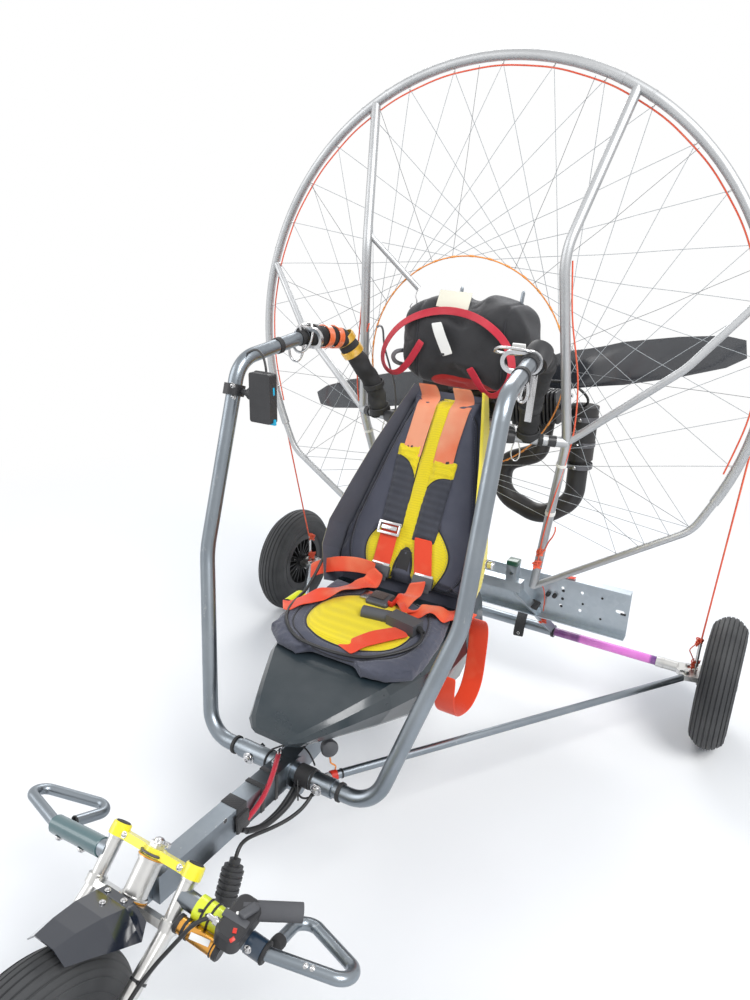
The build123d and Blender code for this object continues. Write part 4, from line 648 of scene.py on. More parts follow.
# %% Dress the CAD nodes
DRESS = {frame_tube: ("keel_beam", "hoop_left", "hoop_right", "front_cross_tube", "axle_sleeve",
    "radius_rods", "foot_bar_left", "foot_bar_right"),
    cage_tube: ("cage_arc", "cage_spoke_left", "cage_spoke_right", "cage_legs", "cage_sides",
    "cage_stubs", "engine_mount", "cage_strut"), machined: ("head_tube", "fork", "hub_brackets",
    "propeller_drive", "propeller_hub"), galvanised: ("rear_channel", "rear_frame"),
    bright_steel: ("hang_shackles",), yellow_paint: ("fork_clamp",), lime_paint: ("bar_bracket",),
    gold_alloy: ("reservoir",), pink_rod: ("axle_rods",),
    rim_black: ("front_rim", "rear_left_rim", "rear_right_rim"), seat_black: ("seat_base",),
    seat_lined: ("seat_shell",), mudguard_black: ("mudguard",),
    engine_black: ("engine_case", "engine_cylinder"), exhaust_black: ("exhaust",),
    blade_carbon: ("propeller_blades",), black_plastic: ("airbox", "device_holder", "hanging_plug",
    "throttle_housing"), grey_plastic: ("lap_buckle", "hand_throttle"), grip_foam: ("throttle_grip",),
    cable_black: ("brake_lead",), red_cord: ("side_stays",)}
for finish, names in DRESS.items():
    for name in names:
        mesh = parts[name].data
        mesh.materials.clear()
        mesh.materials.append(finish)
print(sum(len(names) for names in DRESS.values()), "CAD nodes dressed")

# %% [markdown]
# ## Tyres
# The tyres are plain ribbed trolley tyres: five round grooves on the tread, two raised rings
# on each wall, and a bead that sits on the rim. One cross-section is drawn as a chain of
# vertices and spun round the axle.

# %% Ribbed tyres
TYRE_RADIUS, BEAD_RADIUS, BEAD_HALF = 0.1985, 0.1052, 0.0345
GROOVES, GROOVE_DEPTH, GROOVE_WIDTH = 6, 0.0032, 0.003
TREAD_HALF, CROWN_DROP = 0.041, 0.0225


def crown(across):
    """The rounded tread's radius, lower towards its edges."""
    return TYRE_RADIUS - CROWN_DROP * (abs(across) / TREAD_HALF) ** 2.2


def tyre_profile():
    """Half-round tyre section as (across, radius), open at the bead."""
    wall = [(-BEAD_HALF, BEAD_RADIUS), (-BEAD_HALF - 0.0035, BEAD_RADIUS + 0.004),
        (-BEAD_HALF - 0.004, BEAD_RADIUS + 0.0085), (-BEAD_HALF - 0.0065, BEAD_RADIUS + 0.0105),
        (-0.0452, 0.124), (-0.0484, 0.137), (-0.049, 0.142), (-0.0498, 0.1428), (-0.0498, 0.1442),
        (-0.0489, 0.145), (-0.0487, 0.154), (-0.0476, 0.1632), (-0.0482, 0.164), (-0.048, 0.1654),
        (-0.0468, 0.166), (-0.0452, 0.1718), (-0.043, 0.1762)]
    tread = []
    pitch = 2 * TREAD_HALF / (GROOVES + 0.5)
    for rib in range(GROOVES + 1):
        centre = (rib - GROOVES / 2) * pitch
        ends = (centre - (pitch - GROOVE_WIDTH) / 2, centre + (pitch - GROOVE_WIDTH) / 2)
        for number, place in enumerate((ends[0], ends[0] + 0.0006, centre, ends[1] - 0.0006, ends[1])):
            tread.append((place, crown(place) - (0.0008 if number in (0, 4) else 0)))
        if rib < GROOVES:
            for place in (ends[1] + 0.0005, ends[1] + GROOVE_WIDTH - 0.0005):
                tread.append((place, crown(place) - GROOVE_DEPTH))
    return wall + tread + [(-across, radius) for across, radius in reversed(wall)]


def spun_tyre(name, centre, body):
    """A tyre spun round its axle, in place of its CAD stand-in."""
    group = bmesh.new()
    add_turned(group, tyre_profile(), centre, (1, 0, 0), 0, 112)
    made = finished(name, group, tyre_rubber, body, 30)
    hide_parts(name.replace("ribbed_", "") + "_tyre")
    return made


WHEELS = (("front", (0, -0.868, 0.2), "front_wheel"),
    ("rear_left", (0.772, 0.868, 0.2), "rear_wheel_left"),
    ("rear_right", (-0.772, 0.868, 0.2), "rear_wheel_right"))
for name, centre, body in WHEELS:
    tyre = spun_tyre("ribbed_" + name, centre, body)
print("tyre faces", len(tyre.data.polygons))

# %% [markdown]
# ## Wheel fittings
# Each moulded wheel has bright clip rings where its bearings sit, five bolts that hold its
# halves together, and a rubber valve that leans out through the rim.

# %% Hub caps, bolts and valves
VALVE_TURN = 2.1


def wheel_fittings(name, centre, body, half_hub):
    """Bearing seats, rim bolts and a valve for one wheel."""
    group = bmesh.new()
    middle = Vector(centre)
    for side in (1, -1):
        face = middle + Vector((side * half_hub, 0, 0))
        add_turned(group, [(-0.001, 0.0135), (-0.001, 0.0195), (0.0008, 0.02), (0.0016, 0.019),
            (0.0016, 0.014)], face - Vector((side * 0.0012, 0, 0)), (side, 0, 0), 0, 32, closed=True)
        for step in range(5):
            turn = 2 * pi * step / 5 + 0.3
            spot = middle + Vector((side * 0.0175, 0.0345 * cos(turn), 0.0345 * sin(turn)))
            add_hex(group, spot, (side, 0, 0), 0.01, 0.0055, 0)
    out = 1 if centre[0] >= 0 else -1
    lean = Vector((0.45 * out, cos(VALVE_TURN), sin(VALVE_TURN)))
    root = middle + Vector((0.01 * out, 0.086 * cos(VALVE_TURN), 0.086 * sin(VALVE_TURN)))
    stem = [(0, 0), (0, 0.0062), (-0.006, 0.005), (-0.02, 0.0036), (-0.02, 0)]
    cap = [(-0.019, 0), (-0.019, 0.004), (-0.03, 0.004), (-0.031, 0.003), (-0.031, 0)]
    add_turned(group, stem, root, lean, 1, 14)
    add_turned(group, cap, root, lean, 2, 12)
    return finished(name + "_wheel_fittings", group, [machined, rubber, black_plastic], body)


for name, centre, body in WHEELS:
    made = wheel_fittings(name, centre, body, 0.05 if name == "front" else 0.048)
print("fittings on", len(WHEELS), "wheels, faces each", len(made.data.polygons))

# %% [markdown]
# ## Cushions
# The seat has two foam cushions in one cover. Each starts as a copy of its CAD stand-in: the
# loose triangles are merged, remeshed into even squares, shrunk a little, and blown up again
# by Blender's cloth under pressure, so the sides pull in between the corners. The swelling
# is capped, then the seams are pressed in, and the distance to the yellow panel is stored.

# %% Padded helper
VOXEL = 0.0055


def flat_distance(x, y, outline):
    """Signed distance in metres from a flat point to a closed outline, positive inside."""
    nearest, inside = 1e9, False
    for (ax, ay), (bx, by) in zip(outline, outline[1:] + outline[:1]):
        run_x, run_y = bx - ax, by - ay
        share = ((x - ax) * run_x + (y - ay) * run_y) / (run_x * run_x + run_y * run_y)
        share = min(1.0, max(0.0, share))
        nearest = min(nearest, (x - ax - share * run_x) ** 2 + (y - ay - share * run_y) ** 2)
        if (ay > y) != (by > y) and x < ax + (y - ay) * run_x / run_y:
            inside = not inside
    return sqrt(nearest) if inside else -sqrt(nearest)


def rounded_outline(corners, rounds=2):
    """Cuts the corners of a flat outline, twice over, so that it runs smoothly."""
    for _ in range(rounds):
        sides = zip(corners, corners[1:] + corners[:1])
        corners = [(a[0] + (b[0] - a[0]) * share, a[1] + (b[1] - a[1]) * share)
            for a, b in sides for share in (0.25, 0.75)]
    return corners


def groove(distance, depth, half_width):
    """How deep a sewn channel is, at a distance from its seam."""
    return depth * max(0, 1 - (distance / half_width) ** 2)


def puffed(inside, height, reach):
    """How far a panel rises, at a distance inside its seam."""
    return height * min(1, max(0, inside) / reach)


@contextmanager
def opened(mesh):
    """A mesh as a bmesh with fresh normals, written back when the change is done."""
    shape = bmesh.new()
    shape.from_mesh(mesh)
    shape.normal_update()
    yield shape
    shape.to_mesh(mesh)
    shape.free()


def applied(made):
    """The mesh of an object with its modifiers applied; the object goes."""
    mesh = bpy.data.meshes.new_from_object(made.evaluated_get(bpy.context.evaluated_depsgraph_get()))
    bpy.data.objects.remove(made)
    return mesh


def even_copy(node, voxel, shrink):
    """A merged, evenly remeshed copy of a CAD solid, shrunk along its normals."""
    mesh = parts[node].data.copy()
    with opened(mesh) as shape:
        bmesh.ops.remove_doubles(shape, verts=shape.verts, dist=1e-5)
    mesh.materials.clear()
    blank = in_scene("blank", mesh)
    even = blank.modifiers.new("even", "REMESH")
    even.mode, even.voxel_size = "VOXEL", voxel
    made = applied(blank)
    with opened(made) as shape:
        for _ in range(2):
            bmesh.ops.smooth_vert(shape, verts=shape.verts, factor=0.5, use_axis_x=True,
                use_axis_y=True, use_axis_z=True)
        shape.normal_update()
        for vert in shape.verts:
            vert.co -= vert.normal * shrink
    return made


def blown_up(mesh, cap, pressure, held=None):
    """Cloth under pressure, applied, with each point's movement capped."""
    start = [vert.co.copy() for vert in mesh.vertices]
    pad = in_scene("pad", mesh)
    if held:
        pins = pad.vertex_groups.new(name="held")
        pins.add([vert.index for vert in mesh.vertices if held(vert)], 1.0, "REPLACE")
    cloth = pad.modifiers.new("Cloth", "CLOTH")
    cloth.settings.use_pressure = True
    cloth.settings.uniform_pressure_force = pressure
    cloth.settings.effector_weights.gravity = 0
    cloth.settings.quality = 4
    if held:
        cloth.settings.vertex_group_mass = "held"
    scene = bpy.context.scene
    for moment in range(1, 21):
        scene.frame_set(moment)
    swollen = applied(pad)
    for vert, place in zip(swollen.vertices, start):
        move = vert.co - place
        if move.length > cap:
            vert.co = place + move.normalized() * cap
    scene.frame_set(1)
    return swollen


def store(mesh, name, values):
    """Keeps one number a point on the mesh, for a material to read."""
    layer = mesh.attributes.new(name, "FLOAT", "POINT")
    layer.data.foreach_set("value", values)


def cushion(name, node, mesh, finish):
    """Shows a padded piece, smoothed once, in place of its CAD stand-in."""
    made = shown(name, mesh, finish, sharp=180)
    soft = made.modifiers.new("soft", "SUBSURF")
    soft.levels = soft.render_levels = 1
    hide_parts(node)
    return made


print("padded helper ready")

# %% [markdown]
# ### The back cushion
# Its face leans back 28 degrees. Points on it are given as across (from the middle) and
# along (up from the crease). The yellow mesh runs as a narrow tongue up the middle and opens
# into two lobes beside the black crotch-strap pocket.

# %% Back cushion
BACK_TILT, CREASE = radians(28), Vector((0, 0.27, 0.548))
BACK_UP = Vector((0, sin(BACK_TILT), cos(BACK_TILT)))
BACK_OUT = Vector((0, -cos(BACK_TILT), sin(BACK_TILT)))


def back_place(place):
    """(across, along) on the seat back for a point in space."""
    return place.x, (place - CREASE).dot(BACK_UP)


BACK_PANEL = rounded_outline([(-0.026, 0.565), (0.026, 0.565), (0.03, 0.3), (0.062, 0.185),
    (0.098, 0.15), (0.126, 0.105), (0.112, 0.045), (0.075, 0.006), (0.03, 0.012), (0.024, 0.08),
    (0.0, 0.118), (-0.024, 0.08), (-0.03, 0.012), (-0.075, 0.006), (-0.112, 0.045), (-0.126, 0.105),
    (-0.098, 0.15), (-0.062, 0.185), (-0.03, 0.3)])
BACK_WELT = rounded_outline([(-0.088, 0.522), (0.088, 0.522), (0.126, 0.36), (0.16, 0.22),
    (0.178, 0.12), (0.16, 0.036), (0.1, 0.01), (-0.1, 0.01), (-0.16, 0.036), (-0.178, 0.12),
    (-0.16, 0.22), (-0.126, 0.36)])

back_mesh = blown_up(even_copy("back_cushion", VOXEL, 0.003), 0.01, 3.0,
    held=lambda vert: vert.normal.dot(BACK_OUT) < -0.5)
panel_at = []
with opened(back_mesh) as shape:
    for vert in shape.verts:
        spot = back_place(vert.co)
        panel, welt = flat_distance(*spot, BACK_PANEL), flat_distance(*spot, BACK_WELT)
        panel_at.append(panel)
        if vert.normal.dot(BACK_OUT) >= 0.2:
            pressed = groove(panel, 0.0035, 0.009) + groove(welt, 0.003, 0.008)
            vert.co += BACK_OUT * (puffed(panel, 0.003, 0.03) - pressed)
store(back_mesh, "panel", panel_at)
back_pad = cushion("back_pad", "back_cushion", back_mesh, cushion_cover)
print("back cushion faces", len(back_mesh.polygons))

# %% [markdown]
# ### The seat cushion
# It lies on the tub, flat below and crowned above, with two flaps hanging over the front
# corners. The yellow panel is a rounded oval let into the middle, with a second quilted
# line round it.

# %% Seat cushion
SEAT_PANEL = rounded_outline([(-0.128, 0.028), (-0.06, -0.01), (0.06, -0.01), (0.128, 0.028),
    (0.142, 0.11), (0.104, 0.176), (0.04, 0.205), (-0.04, 0.205), (-0.104, 0.176), (-0.142, 0.11)])
SEAT_WELT = rounded_outline([(-0.156, 0.01), (-0.075, -0.034), (0.075, -0.034), (0.156, 0.01),
    (0.17, 0.11), (0.132, 0.205), (0.05, 0.236), (-0.05, 0.236), (-0.132, 0.205), (-0.17, 0.11)])
seat_mesh = blown_up(even_copy("seat_cushion", 0.0045, 0.002), 0.008, 3.0,
    held=lambda vert: vert.normal.z < -0.5)
panel_at = []
with opened(seat_mesh) as shape:
    for vert in shape.verts:
        spot = vert.co.x, vert.co.y
        panel, welt = flat_distance(*spot, SEAT_PANEL), flat_distance(*spot, SEAT_WELT)
        panel_at.append(panel)
        if vert.normal.z >= 0.25:
            pressed = groove(panel, 0.004, 0.008) + groove(welt, 0.003, 0.007)
            ripple = 0.001 * sin(vert.co.y * 340) * max(0, 1 - abs(welt + 0.018) / 0.018)
            vert.co.z += puffed(panel, 0.0035, 0.035) - pressed + ripple
store(seat_mesh, "panel", panel_at)
seat_pad = cushion("seat_pad", "seat_cushion", seat_mesh, cushion_cover)
print("seat cushion faces", len(seat_mesh.polygons))

# %% [markdown]
# ### Piping, stitches and the pocket
# Black piping covers each seam. Its line is the flat outline dropped on the finished cushion,
# which a ray finds point by point. A row of short stitches runs beside it.

# %% Piping and stitches
def surface_tree(made):
    """What a ray needs to find a piece's finished surface."""
    return BVHTree.FromObject(made, bpy.context.evaluated_depsgraph_get())


def landed(tree, start, direction):
    """Where a ray first meets a surface, with the normal there, or None."""
    place, normal, _, _ = tree.ray_cast(start, direction, 0.25)
    return (place, normal) if place else None


back_tree, seat_tree = surface_tree(back_pad), surface_tree(seat_pad)


def on_back(x, along, lift=0.0):
    """A point on the back cushion's face, lifted off it."""
    start = CREASE + BACK_UP * along + Vector((x, 0, 0)) + BACK_OUT * 0.12
    found = landed(back_tree, start, -BACK_OUT)
    return found[0] + BACK_OUT * lift if found else None


def on_seat(x, y, lift=0.0):
    """A point on the seat cushion's top, lifted off it."""
    found = landed(seat_tree, Vector((x, y, 0.7)), Vector((0, 0, -1)))
    return found[0] + Vector((0, 0, lift)) if found else None


def welt_line(name, outline, find, radius=0.0019, finish=piping, lift=0.0004):
    """Piping along a flat outline, as far as it lies on the cushion."""
    line = [find(x, y, lift) for x, y in outline]
    line = [point for point in line if point]
    line.append(line[0])
    return cable(name, line, radius, finish, round_by=2)


def stitch_row(name, outline, find, inward, pitch=0.0075):
    """A row of short stitches beside a seam."""
    group = bmesh.new()
    carried = 0.0
    for (ax, ay), (bx, by) in zip(outline, outline[1:] + outline[:1]):
        length = sqrt((bx - ax) ** 2 + (by - ay) ** 2)
        while carried < length:
            share = carried / length
            x, y = ax + (bx - ax) * share, ay + (by - ay) * share
            side = Vector((-(by - ay), bx - ax)).normalized() * inward
            place = find(x + side.x, y + side.y)
            ahead = find(x + side.x + (bx - ax) / length * 0.003,
                y + side.y + (by - ay) / length * 0.003)
            if place and ahead and (ahead - place).length < 0.006:
                add_block(group, (0.0008, 0.0008, 0.0042), place, ahead - place, steps=1)
            carried += pitch
        carried -= length
    return finished(name, group, thread)


for name, outline, find in (("back_panel", BACK_PANEL, on_back), ("back_outer", BACK_WELT, on_back),
        ("seat_panel", SEAT_PANEL, on_seat), ("seat_outer", SEAT_WELT, on_seat)):
    welt_line(name + "_piping", outline, find)
    stitch_row(name + "_stitches", outline, find, -0.0055)

POCKET = rounded_outline([(-0.021, 0.004), (0.021, 0.004), (0.026, 0.06), (0.018, 0.098), (0.0, 0.116),
    (-0.018, 0.098), (-0.026, 0.06)])
group = bmesh.new()
border = [group.verts.new(on_back(x, along, 0.0012)) for x, along in POCKET if on_back(x, along)]
rim = [group.edges.new(pair) for pair in zip(border, border[1:] + border[:1])]
bmesh.ops.edgenet_fill(group, edges=rim)
bmesh.ops.poke(group, faces=group.faces)
bmesh.ops.recalc_face_normals(group, faces=group.faces)
finished("crotch_pocket", group, black_cloth)
print("piping and stitches on both cushions")

# %% [markdown]
# ## Harness
# Two shoulder straps come out from under the bag, run through quilted pads, and end in metal
# latches on the seat back. The lap belts lie loose, and one tail hangs outside the seat.
# Each strap's route is a list of points dropped on the finished cushions.

# %% Shoulder pads
PAD_SHIFT = {-1: (-0.013, 0.014, 1.2), 1: (-0.006, -0.008, 1.17)}
PAD_YELLOW = {-1: rounded_outline([(-0.12, 0.4), (-0.01, 0.4), (-0.01, 0.268), (-0.026, 0.275),
    (-0.036, 0.312), (-0.066, 0.345), (-0.12, 0.352)]), 1: rounded_outline([(0.09, 0.39), (-0.01, 0.39),
    (-0.01, 0.235), (0.002, 0.242), (0.014, 0.28), (0.042, 0.306), (0.09, 0.308)])}


def pad_middle(side, along):
    """How far a pad's middle is from the seat's middle, at a height along the back."""
    shift_x, shift_along, longer = PAD_SHIFT[side]
    return side * (0.046 + ((along - shift_along - 0.14) / longer) * 0.037) + shift_x


pad_shape = even_copy("shoulder_pads", 0.0034, 0.0012)
for vert in pad_shape.vertices:
    x, along = back_place(vert.co)
    shift_x, shift_along, longer = PAD_SHIFT[1 if x > 0 else -1]
    vert.co += BACK_UP * (shift_along + (along - 0.14) * (longer - 1))
    vert.co.x += shift_x
pad_mesh = blown_up(pad_shape, 0.004, 3.0, held=lambda vert: vert.normal.dot(BACK_OUT) < -0.5)
panel_at = []
with opened(pad_mesh) as shape:
    for vert in shape.verts:
        x, along = back_place(vert.co)
        seam = flat_distance(x, along, PAD_YELLOW[1 if x > -0.006 else -1])
        panel_at.append(seam)
        if vert.normal.dot(BACK_OUT) > 0.2:
            quilt = 0.001 * cos(along * 2 * pi / 0.019 + x * 20)
            vert.co += BACK_OUT * (quilt - groove(seam, 0.0022, 0.006))
store(pad_mesh, "panel", panel_at)
quilted_pads = cushion("quilted_pads", "shoulder_pads", pad_mesh, pad_cover)
pad_tree = surface_tree(quilted_pads)


def on_pad(x, along, lift=0.0):
    """A point on a shoulder pad's face, lifted off it."""
    start = CREASE + BACK_UP * along + Vector((x, 0, 0)) + BACK_OUT * 0.15
    found = landed(pad_tree, start, -BACK_OUT)
    return found[0] + BACK_OUT * lift if found else None


for side, word in ((-1, "right"), (1, "left")):
    shift_x, shift_along, longer = PAD_SHIFT[side]
    bottom, top = 0.144 + shift_along, 0.14 + 0.188 * longer + shift_along
    heights = [bottom + (top - bottom) * part / 5 for part in range(6)]
    edge = ([(pad_middle(side, along) - 0.0335, along) for along in heights]
        + [(pad_middle(side, along) + 0.0335, along) for along in reversed(heights)])
    welt_line(f"pad_binding_{word}", edge, on_pad, 0.0017, piping, 0.0002)
    seam = [spot for spot in PAD_YELLOW[side] if abs(spot[0] - pad_middle(side, spot[1])) < 0.033
        and spot[1] < top - 0.006]
    line = [point for point in (on_pad(x, along, 0.0002) for x, along in seam) if point]
    cable(f"pad_seam_{word}", line, 0.0013, piping)
    hem = [(on_pad(pad_middle(side, top) + across, top - 0.003) or on_pad(pad_middle(side, top),
        top - 0.006), BACK_UP) for across in (-0.033, -0.015, 0.0, 0.015, 0.033)]
    strap(f"pad_hem_{word}", hem, 0.012, belt_brown, 0.0016)
print("pads quilted", len(pad_mesh.polygons))

# %% [markdown]
# ### Straps
# A strap on the back is given by (across, along) points, and one on the seat by
# (x, y, lift, heading, roll), where heading and roll turn the webbing's width.

# %% Strap helpers
def between(points, step):
    """The same path with points no farther apart than a step."""
    path = [points[0]]
    for first, last in zip(points, points[1:]):
        gap = sqrt(sum((a - b) ** 2 for a, b in zip(first[:2], last[:2])))
        count = max(1, round(gap / step))
        path += [tuple(a + (b - a) * part / count for a, b in zip(first, last))
            for part in range(1, count + 1)]
    return path


def back_route(points, lift=0.003, step=0.02):
    """A route for webbing that lies on the seat back."""
    route = []
    for x, along in between(points, step):
        spots = [on_back(x + off, along, lift) for off in (-0.018, 0.0, 0.018)]
        spots = [spot for spot in spots if spot]
        plane = CREASE + BACK_UP * along + Vector((x, 0, 0)) + BACK_OUT * 0.04
        out = max((spot.dot(BACK_OUT) for spot in spots), default=plane.dot(BACK_OUT))
        route.append((plane + BACK_OUT * (out - plane.dot(BACK_OUT)), (1, 0, 0)))
    return route


def seat_route(steps, step=0.018):
    """A route for webbing that lies loose on the seat."""
    route = []
    for x, y, lift, heading, roll in between(steps, step):
        spot = on_seat(x, y) or Vector((x, y, 0.527 + 0.092 * y))
        across = (cos(radians(heading)) * cos(radians(roll)),
            sin(radians(heading)) * cos(radians(roll)), sin(radians(roll)))
        route.append((Vector((x, y, spot.z + 0.002 + lift)), across))
    return route


# %% Shoulder straps
STRAP_WIDE = 0.05
UPPER = {-1: ((-0.05, 0.545), (-0.051, 0.48), (-0.055, 0.4), (-0.057, 0.35)),
    1: ((0.05, 0.545), (0.046, 0.48), (0.04, 0.4), (0.04, 0.34))}
LOWER = {-1: ((-0.058, 0.166), (-0.058, 0.12), (-0.058, 0.07), (-0.058, 0.04)),
    1: ((0.042, 0.142), (0.05, 0.11), (0.062, 0.066), (0.068, 0.038))}
for side, word in ((-1, "right"), (1, "left")):
    upper = strap(f"shoulder_strap_{word}", back_route(UPPER[side]), STRAP_WIDE + 0.005, webbing_pale)
    lower = strap(f"chest_strap_{word}", back_route(LOWER[side], 0.005), STRAP_WIDE, webbing)
    for piece in (upper, lower):
        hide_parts("shoulder_straps")
print("shoulder straps laid")

# %% Lap belts
lap_left = strap("lap_belt_left", seat_route([(-0.056, 0.262, 0.04, -10, -24),
    (-0.066, 0.234, 0.02, -22, -10), (-0.086, 0.2, 0.01, -34, 12), (-0.112, 0.168, 0.016, -40, 22),
    (-0.14, 0.128, 0.012, -44, -14), (-0.172, 0.086, 0.007, -48, 8), (-0.206, 0.052, 0.004, -52, 0)]),
    STRAP_WIDE, webbing)
lap_hip = strap("lap_belt_hip", [((-0.062, 0.262, 0.588), (0.25, 0, 1)),
    ((-0.1, 0.258, 0.592), (0.1, 0.2, 1)), ((-0.14, 0.25, 0.59), (0, 0.35, 1)),
    ((-0.182, 0.24, 0.582), (0, 0.4, 1)), ((-0.22, 0.232, 0.566), (-0.1, 0.4, 1)),
    ((-0.246, 0.228, 0.548), (-0.2, 0.4, 1))], STRAP_WIDE * 0.8, webbing)
lap_right = strap("lap_belt_right", seat_route([(0.066, 0.262, 0.036, 0, 22),
    (0.06, 0.232, 0.018, -10, 8), (0.056, 0.196, 0.01, -26, -16), (0.06, 0.166, 0.012, -50, 20),
    (0.086, 0.16, 0.022, -78, -12), (0.112, 0.176, 0.01, 110, 24), (0.14, 0.198, 0.016, 100, -12),
    (0.172, 0.214, 0.006, 96, 10), (0.208, 0.222, 0.003, 92, 0), (0.238, 0.228, 0.003, 90, -6)]),
    STRAP_WIDE, webbing)
crotch = strap("crotch_strap", seat_route([(0.022, -0.018, 0.001, -20, 0),
    (0.044, 0.006, 0.002, -28, 4), (0.072, 0.04, 0.004, -36, -4), (0.104, 0.08, 0.002, -40, 0),
    (0.12, 0.1, 0.001, -42, 0)]), STRAP_WIDE, webbing)
flap = strap("hip_flap", seat_route([(-0.222, 0.106, -0.004, 84, 6), (-0.196, 0.124, 0.002, 84, 0),
    (-0.16, 0.14, 0.003, 86, 0), (-0.126, 0.152, 0.002, 88, 0)]), 0.05, yellow_webbing)
TAIL = ((0.086, 0.47), (0.078, 0.432), (0.082, 0.392), (0.098, 0.36), (0.124, 0.342), (0.16, 0.33),
    (0.2, 0.324), (0.236, 0.34), (0.258, 0.368), (0.266, 0.42), (0.271, 0.47), (0.268, 0.512),
    (0.252, 0.54), (0.226, 0.552))
tail_route = [((0.238, y, z), (1, 0.06 * (index % 3 - 1), 0.03)) for index, (y, z) in enumerate(TAIL)]
tail = strap("belt_tail", tail_route, STRAP_WIDE, webbing)
for piece in (lap_left, lap_hip, lap_right, crotch, flap, tail):
    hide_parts("lap_belt")
print("lap belts laid")

# %% Belt slot in the back cushion
slot_route = [(on_back(0.0, along) + BACK_OUT * 0.0004, (1, 0, 0))
    for along in (0.024, 0.044, 0.064, 0.084, 0.102)]
strap("belt_slot", slot_route, 0.034, black_cloth, thickness=0.0012)
print("belt slot", len(slot_route), "steps")

# %% Buckles and the release box
group = bmesh.new()
spot = on_back(-0.058, 0.148) + BACK_OUT * 0.012
for across, along, wide, tall in ((0, 0.014, 0.066, 0.007), (0, -0.014, 0.066, 0.007),
        (-0.03, 0, 0.007, 0.03), (0.03, 0, 0.007, 0.03), (0, 0.001, 0.046, 0.011)):
    add_block(group, (wide, tall, 0.0038), spot + BACK_UP * along + Vector((across, 0, 0)), BACK_OUT, 0,
        edge=0.25)
for x, along in ((-0.058, 0.034), (0.069, 0.032)):
    spot = (on_back(x, along) or CREASE + BACK_UP * along + BACK_OUT * 0.045) + BACK_OUT * 0.012
    spot.x = x
    add_block(group, (0.058, 0.03, 0.01), spot, BACK_OUT, 1, edge=0.2)
    add_block(group, (0.052, 0.008, 0.004), spot + BACK_UP * 0.018, BACK_OUT, 0, edge=0.25)
    add_block(group, (0.05, 0.014, 0.006), spot - BACK_UP * 0.018 + BACK_OUT * 0.001, BACK_OUT, 1,
        edge=0.25)
    add_block(group, (0.03, 0.002, 0.011), spot - BACK_UP * 0.004 + BACK_OUT * 0.001, BACK_OUT, 2,
        edge=0.15)
finished("strap_latches", group, (bright_steel, grey_plastic, black_plastic))
group = bmesh.new()
add_block(group, (0.016, 0.03, 0.015), (0.036, 0.186, 0.556), (0, -0.1, 1), 0, edge=0.25)
add_block(group, (0.008, 0.02, 0.004), (0.036, 0.184, 0.5645), (0, -0.1, 1), 1, edge=0.25)
add_block(group, (0.026, 0.034, 0.003), (-0.04, 0.19, 0.552), (0, -0.1, 1), 2, edge=0.25)
add_block(group, (0.04, 0.03, 0.002), (-0.004, 0.19, 0.5618), (0, -0.1, 1), 3, edge=0.4)
finished("release_button", group, (red_plastic, black_plastic, bright_steel, belt_brown))
print("buckles and release box made")

# %% [markdown]
# ## Gear bag
# A soft two-lobed bag rests on the seat back. It is padded like the cushions. A red webbing
# loop goes round its front, with a blank white tag, and a blank card lies on top.

# %% Bag
BAG_DIP_FROM, BAG_SEAMS = 1.14, (-0.118, 0.128)
bag_mesh = blown_up(even_copy("gear_bag", 0.0065, 0.006), 0.012, 3.0)
low_panel = rounded_outline([(-0.084, 1.01), (0.098, 1.004), (0.106, 1.05), (-0.08, 1.066)])
panel_at = []
with opened(bag_mesh) as shape:
    for vert in shape.verts:
        x, y, z = vert.co
        if z > BAG_DIP_FROM:
            vert.co.z -= groove(x - 0.012, 0.016, 0.04) * (z - BAG_DIP_FROM) / 0.125
        crumple = 0.0024 * sin(x * 46 + z * 21) * cos(z * 57 - x * 18 + y * 30)
        pressed = sum(groove(x - seam_x, 0.0035, 0.006) for seam_x in BAG_SEAMS)
        panel = flat_distance(x, z, low_panel) if y < 0.64 else -0.05
        panel_at.append(panel)
        vert.co += vert.normal * (crumple - pressed + puffed(panel, 0.004, 0.01))
store(bag_mesh, "panel", panel_at)
bag_cover = bag_cloth.copy()
bag_cover.name = "bag_cover"
colour_over(bag_cover, panel_mask(bag_cover, "panel"), (0.62, 0.012, 0.008))
bag_tree = surface_tree(cushion("soft_bag", "gear_bag", bag_mesh, bag_cover))
print("bag", len(bag_mesh.polygons))


def on_bag(x, z, lift=0.0):
    """A point on the bag's front, lifted off it."""
    found = landed(bag_tree, Vector((x, 0.5, z)), Vector((0, 1, 0)))
    return found[0] - Vector((0, lift, 0)) if found else Vector((x, 0.556 - lift, z))


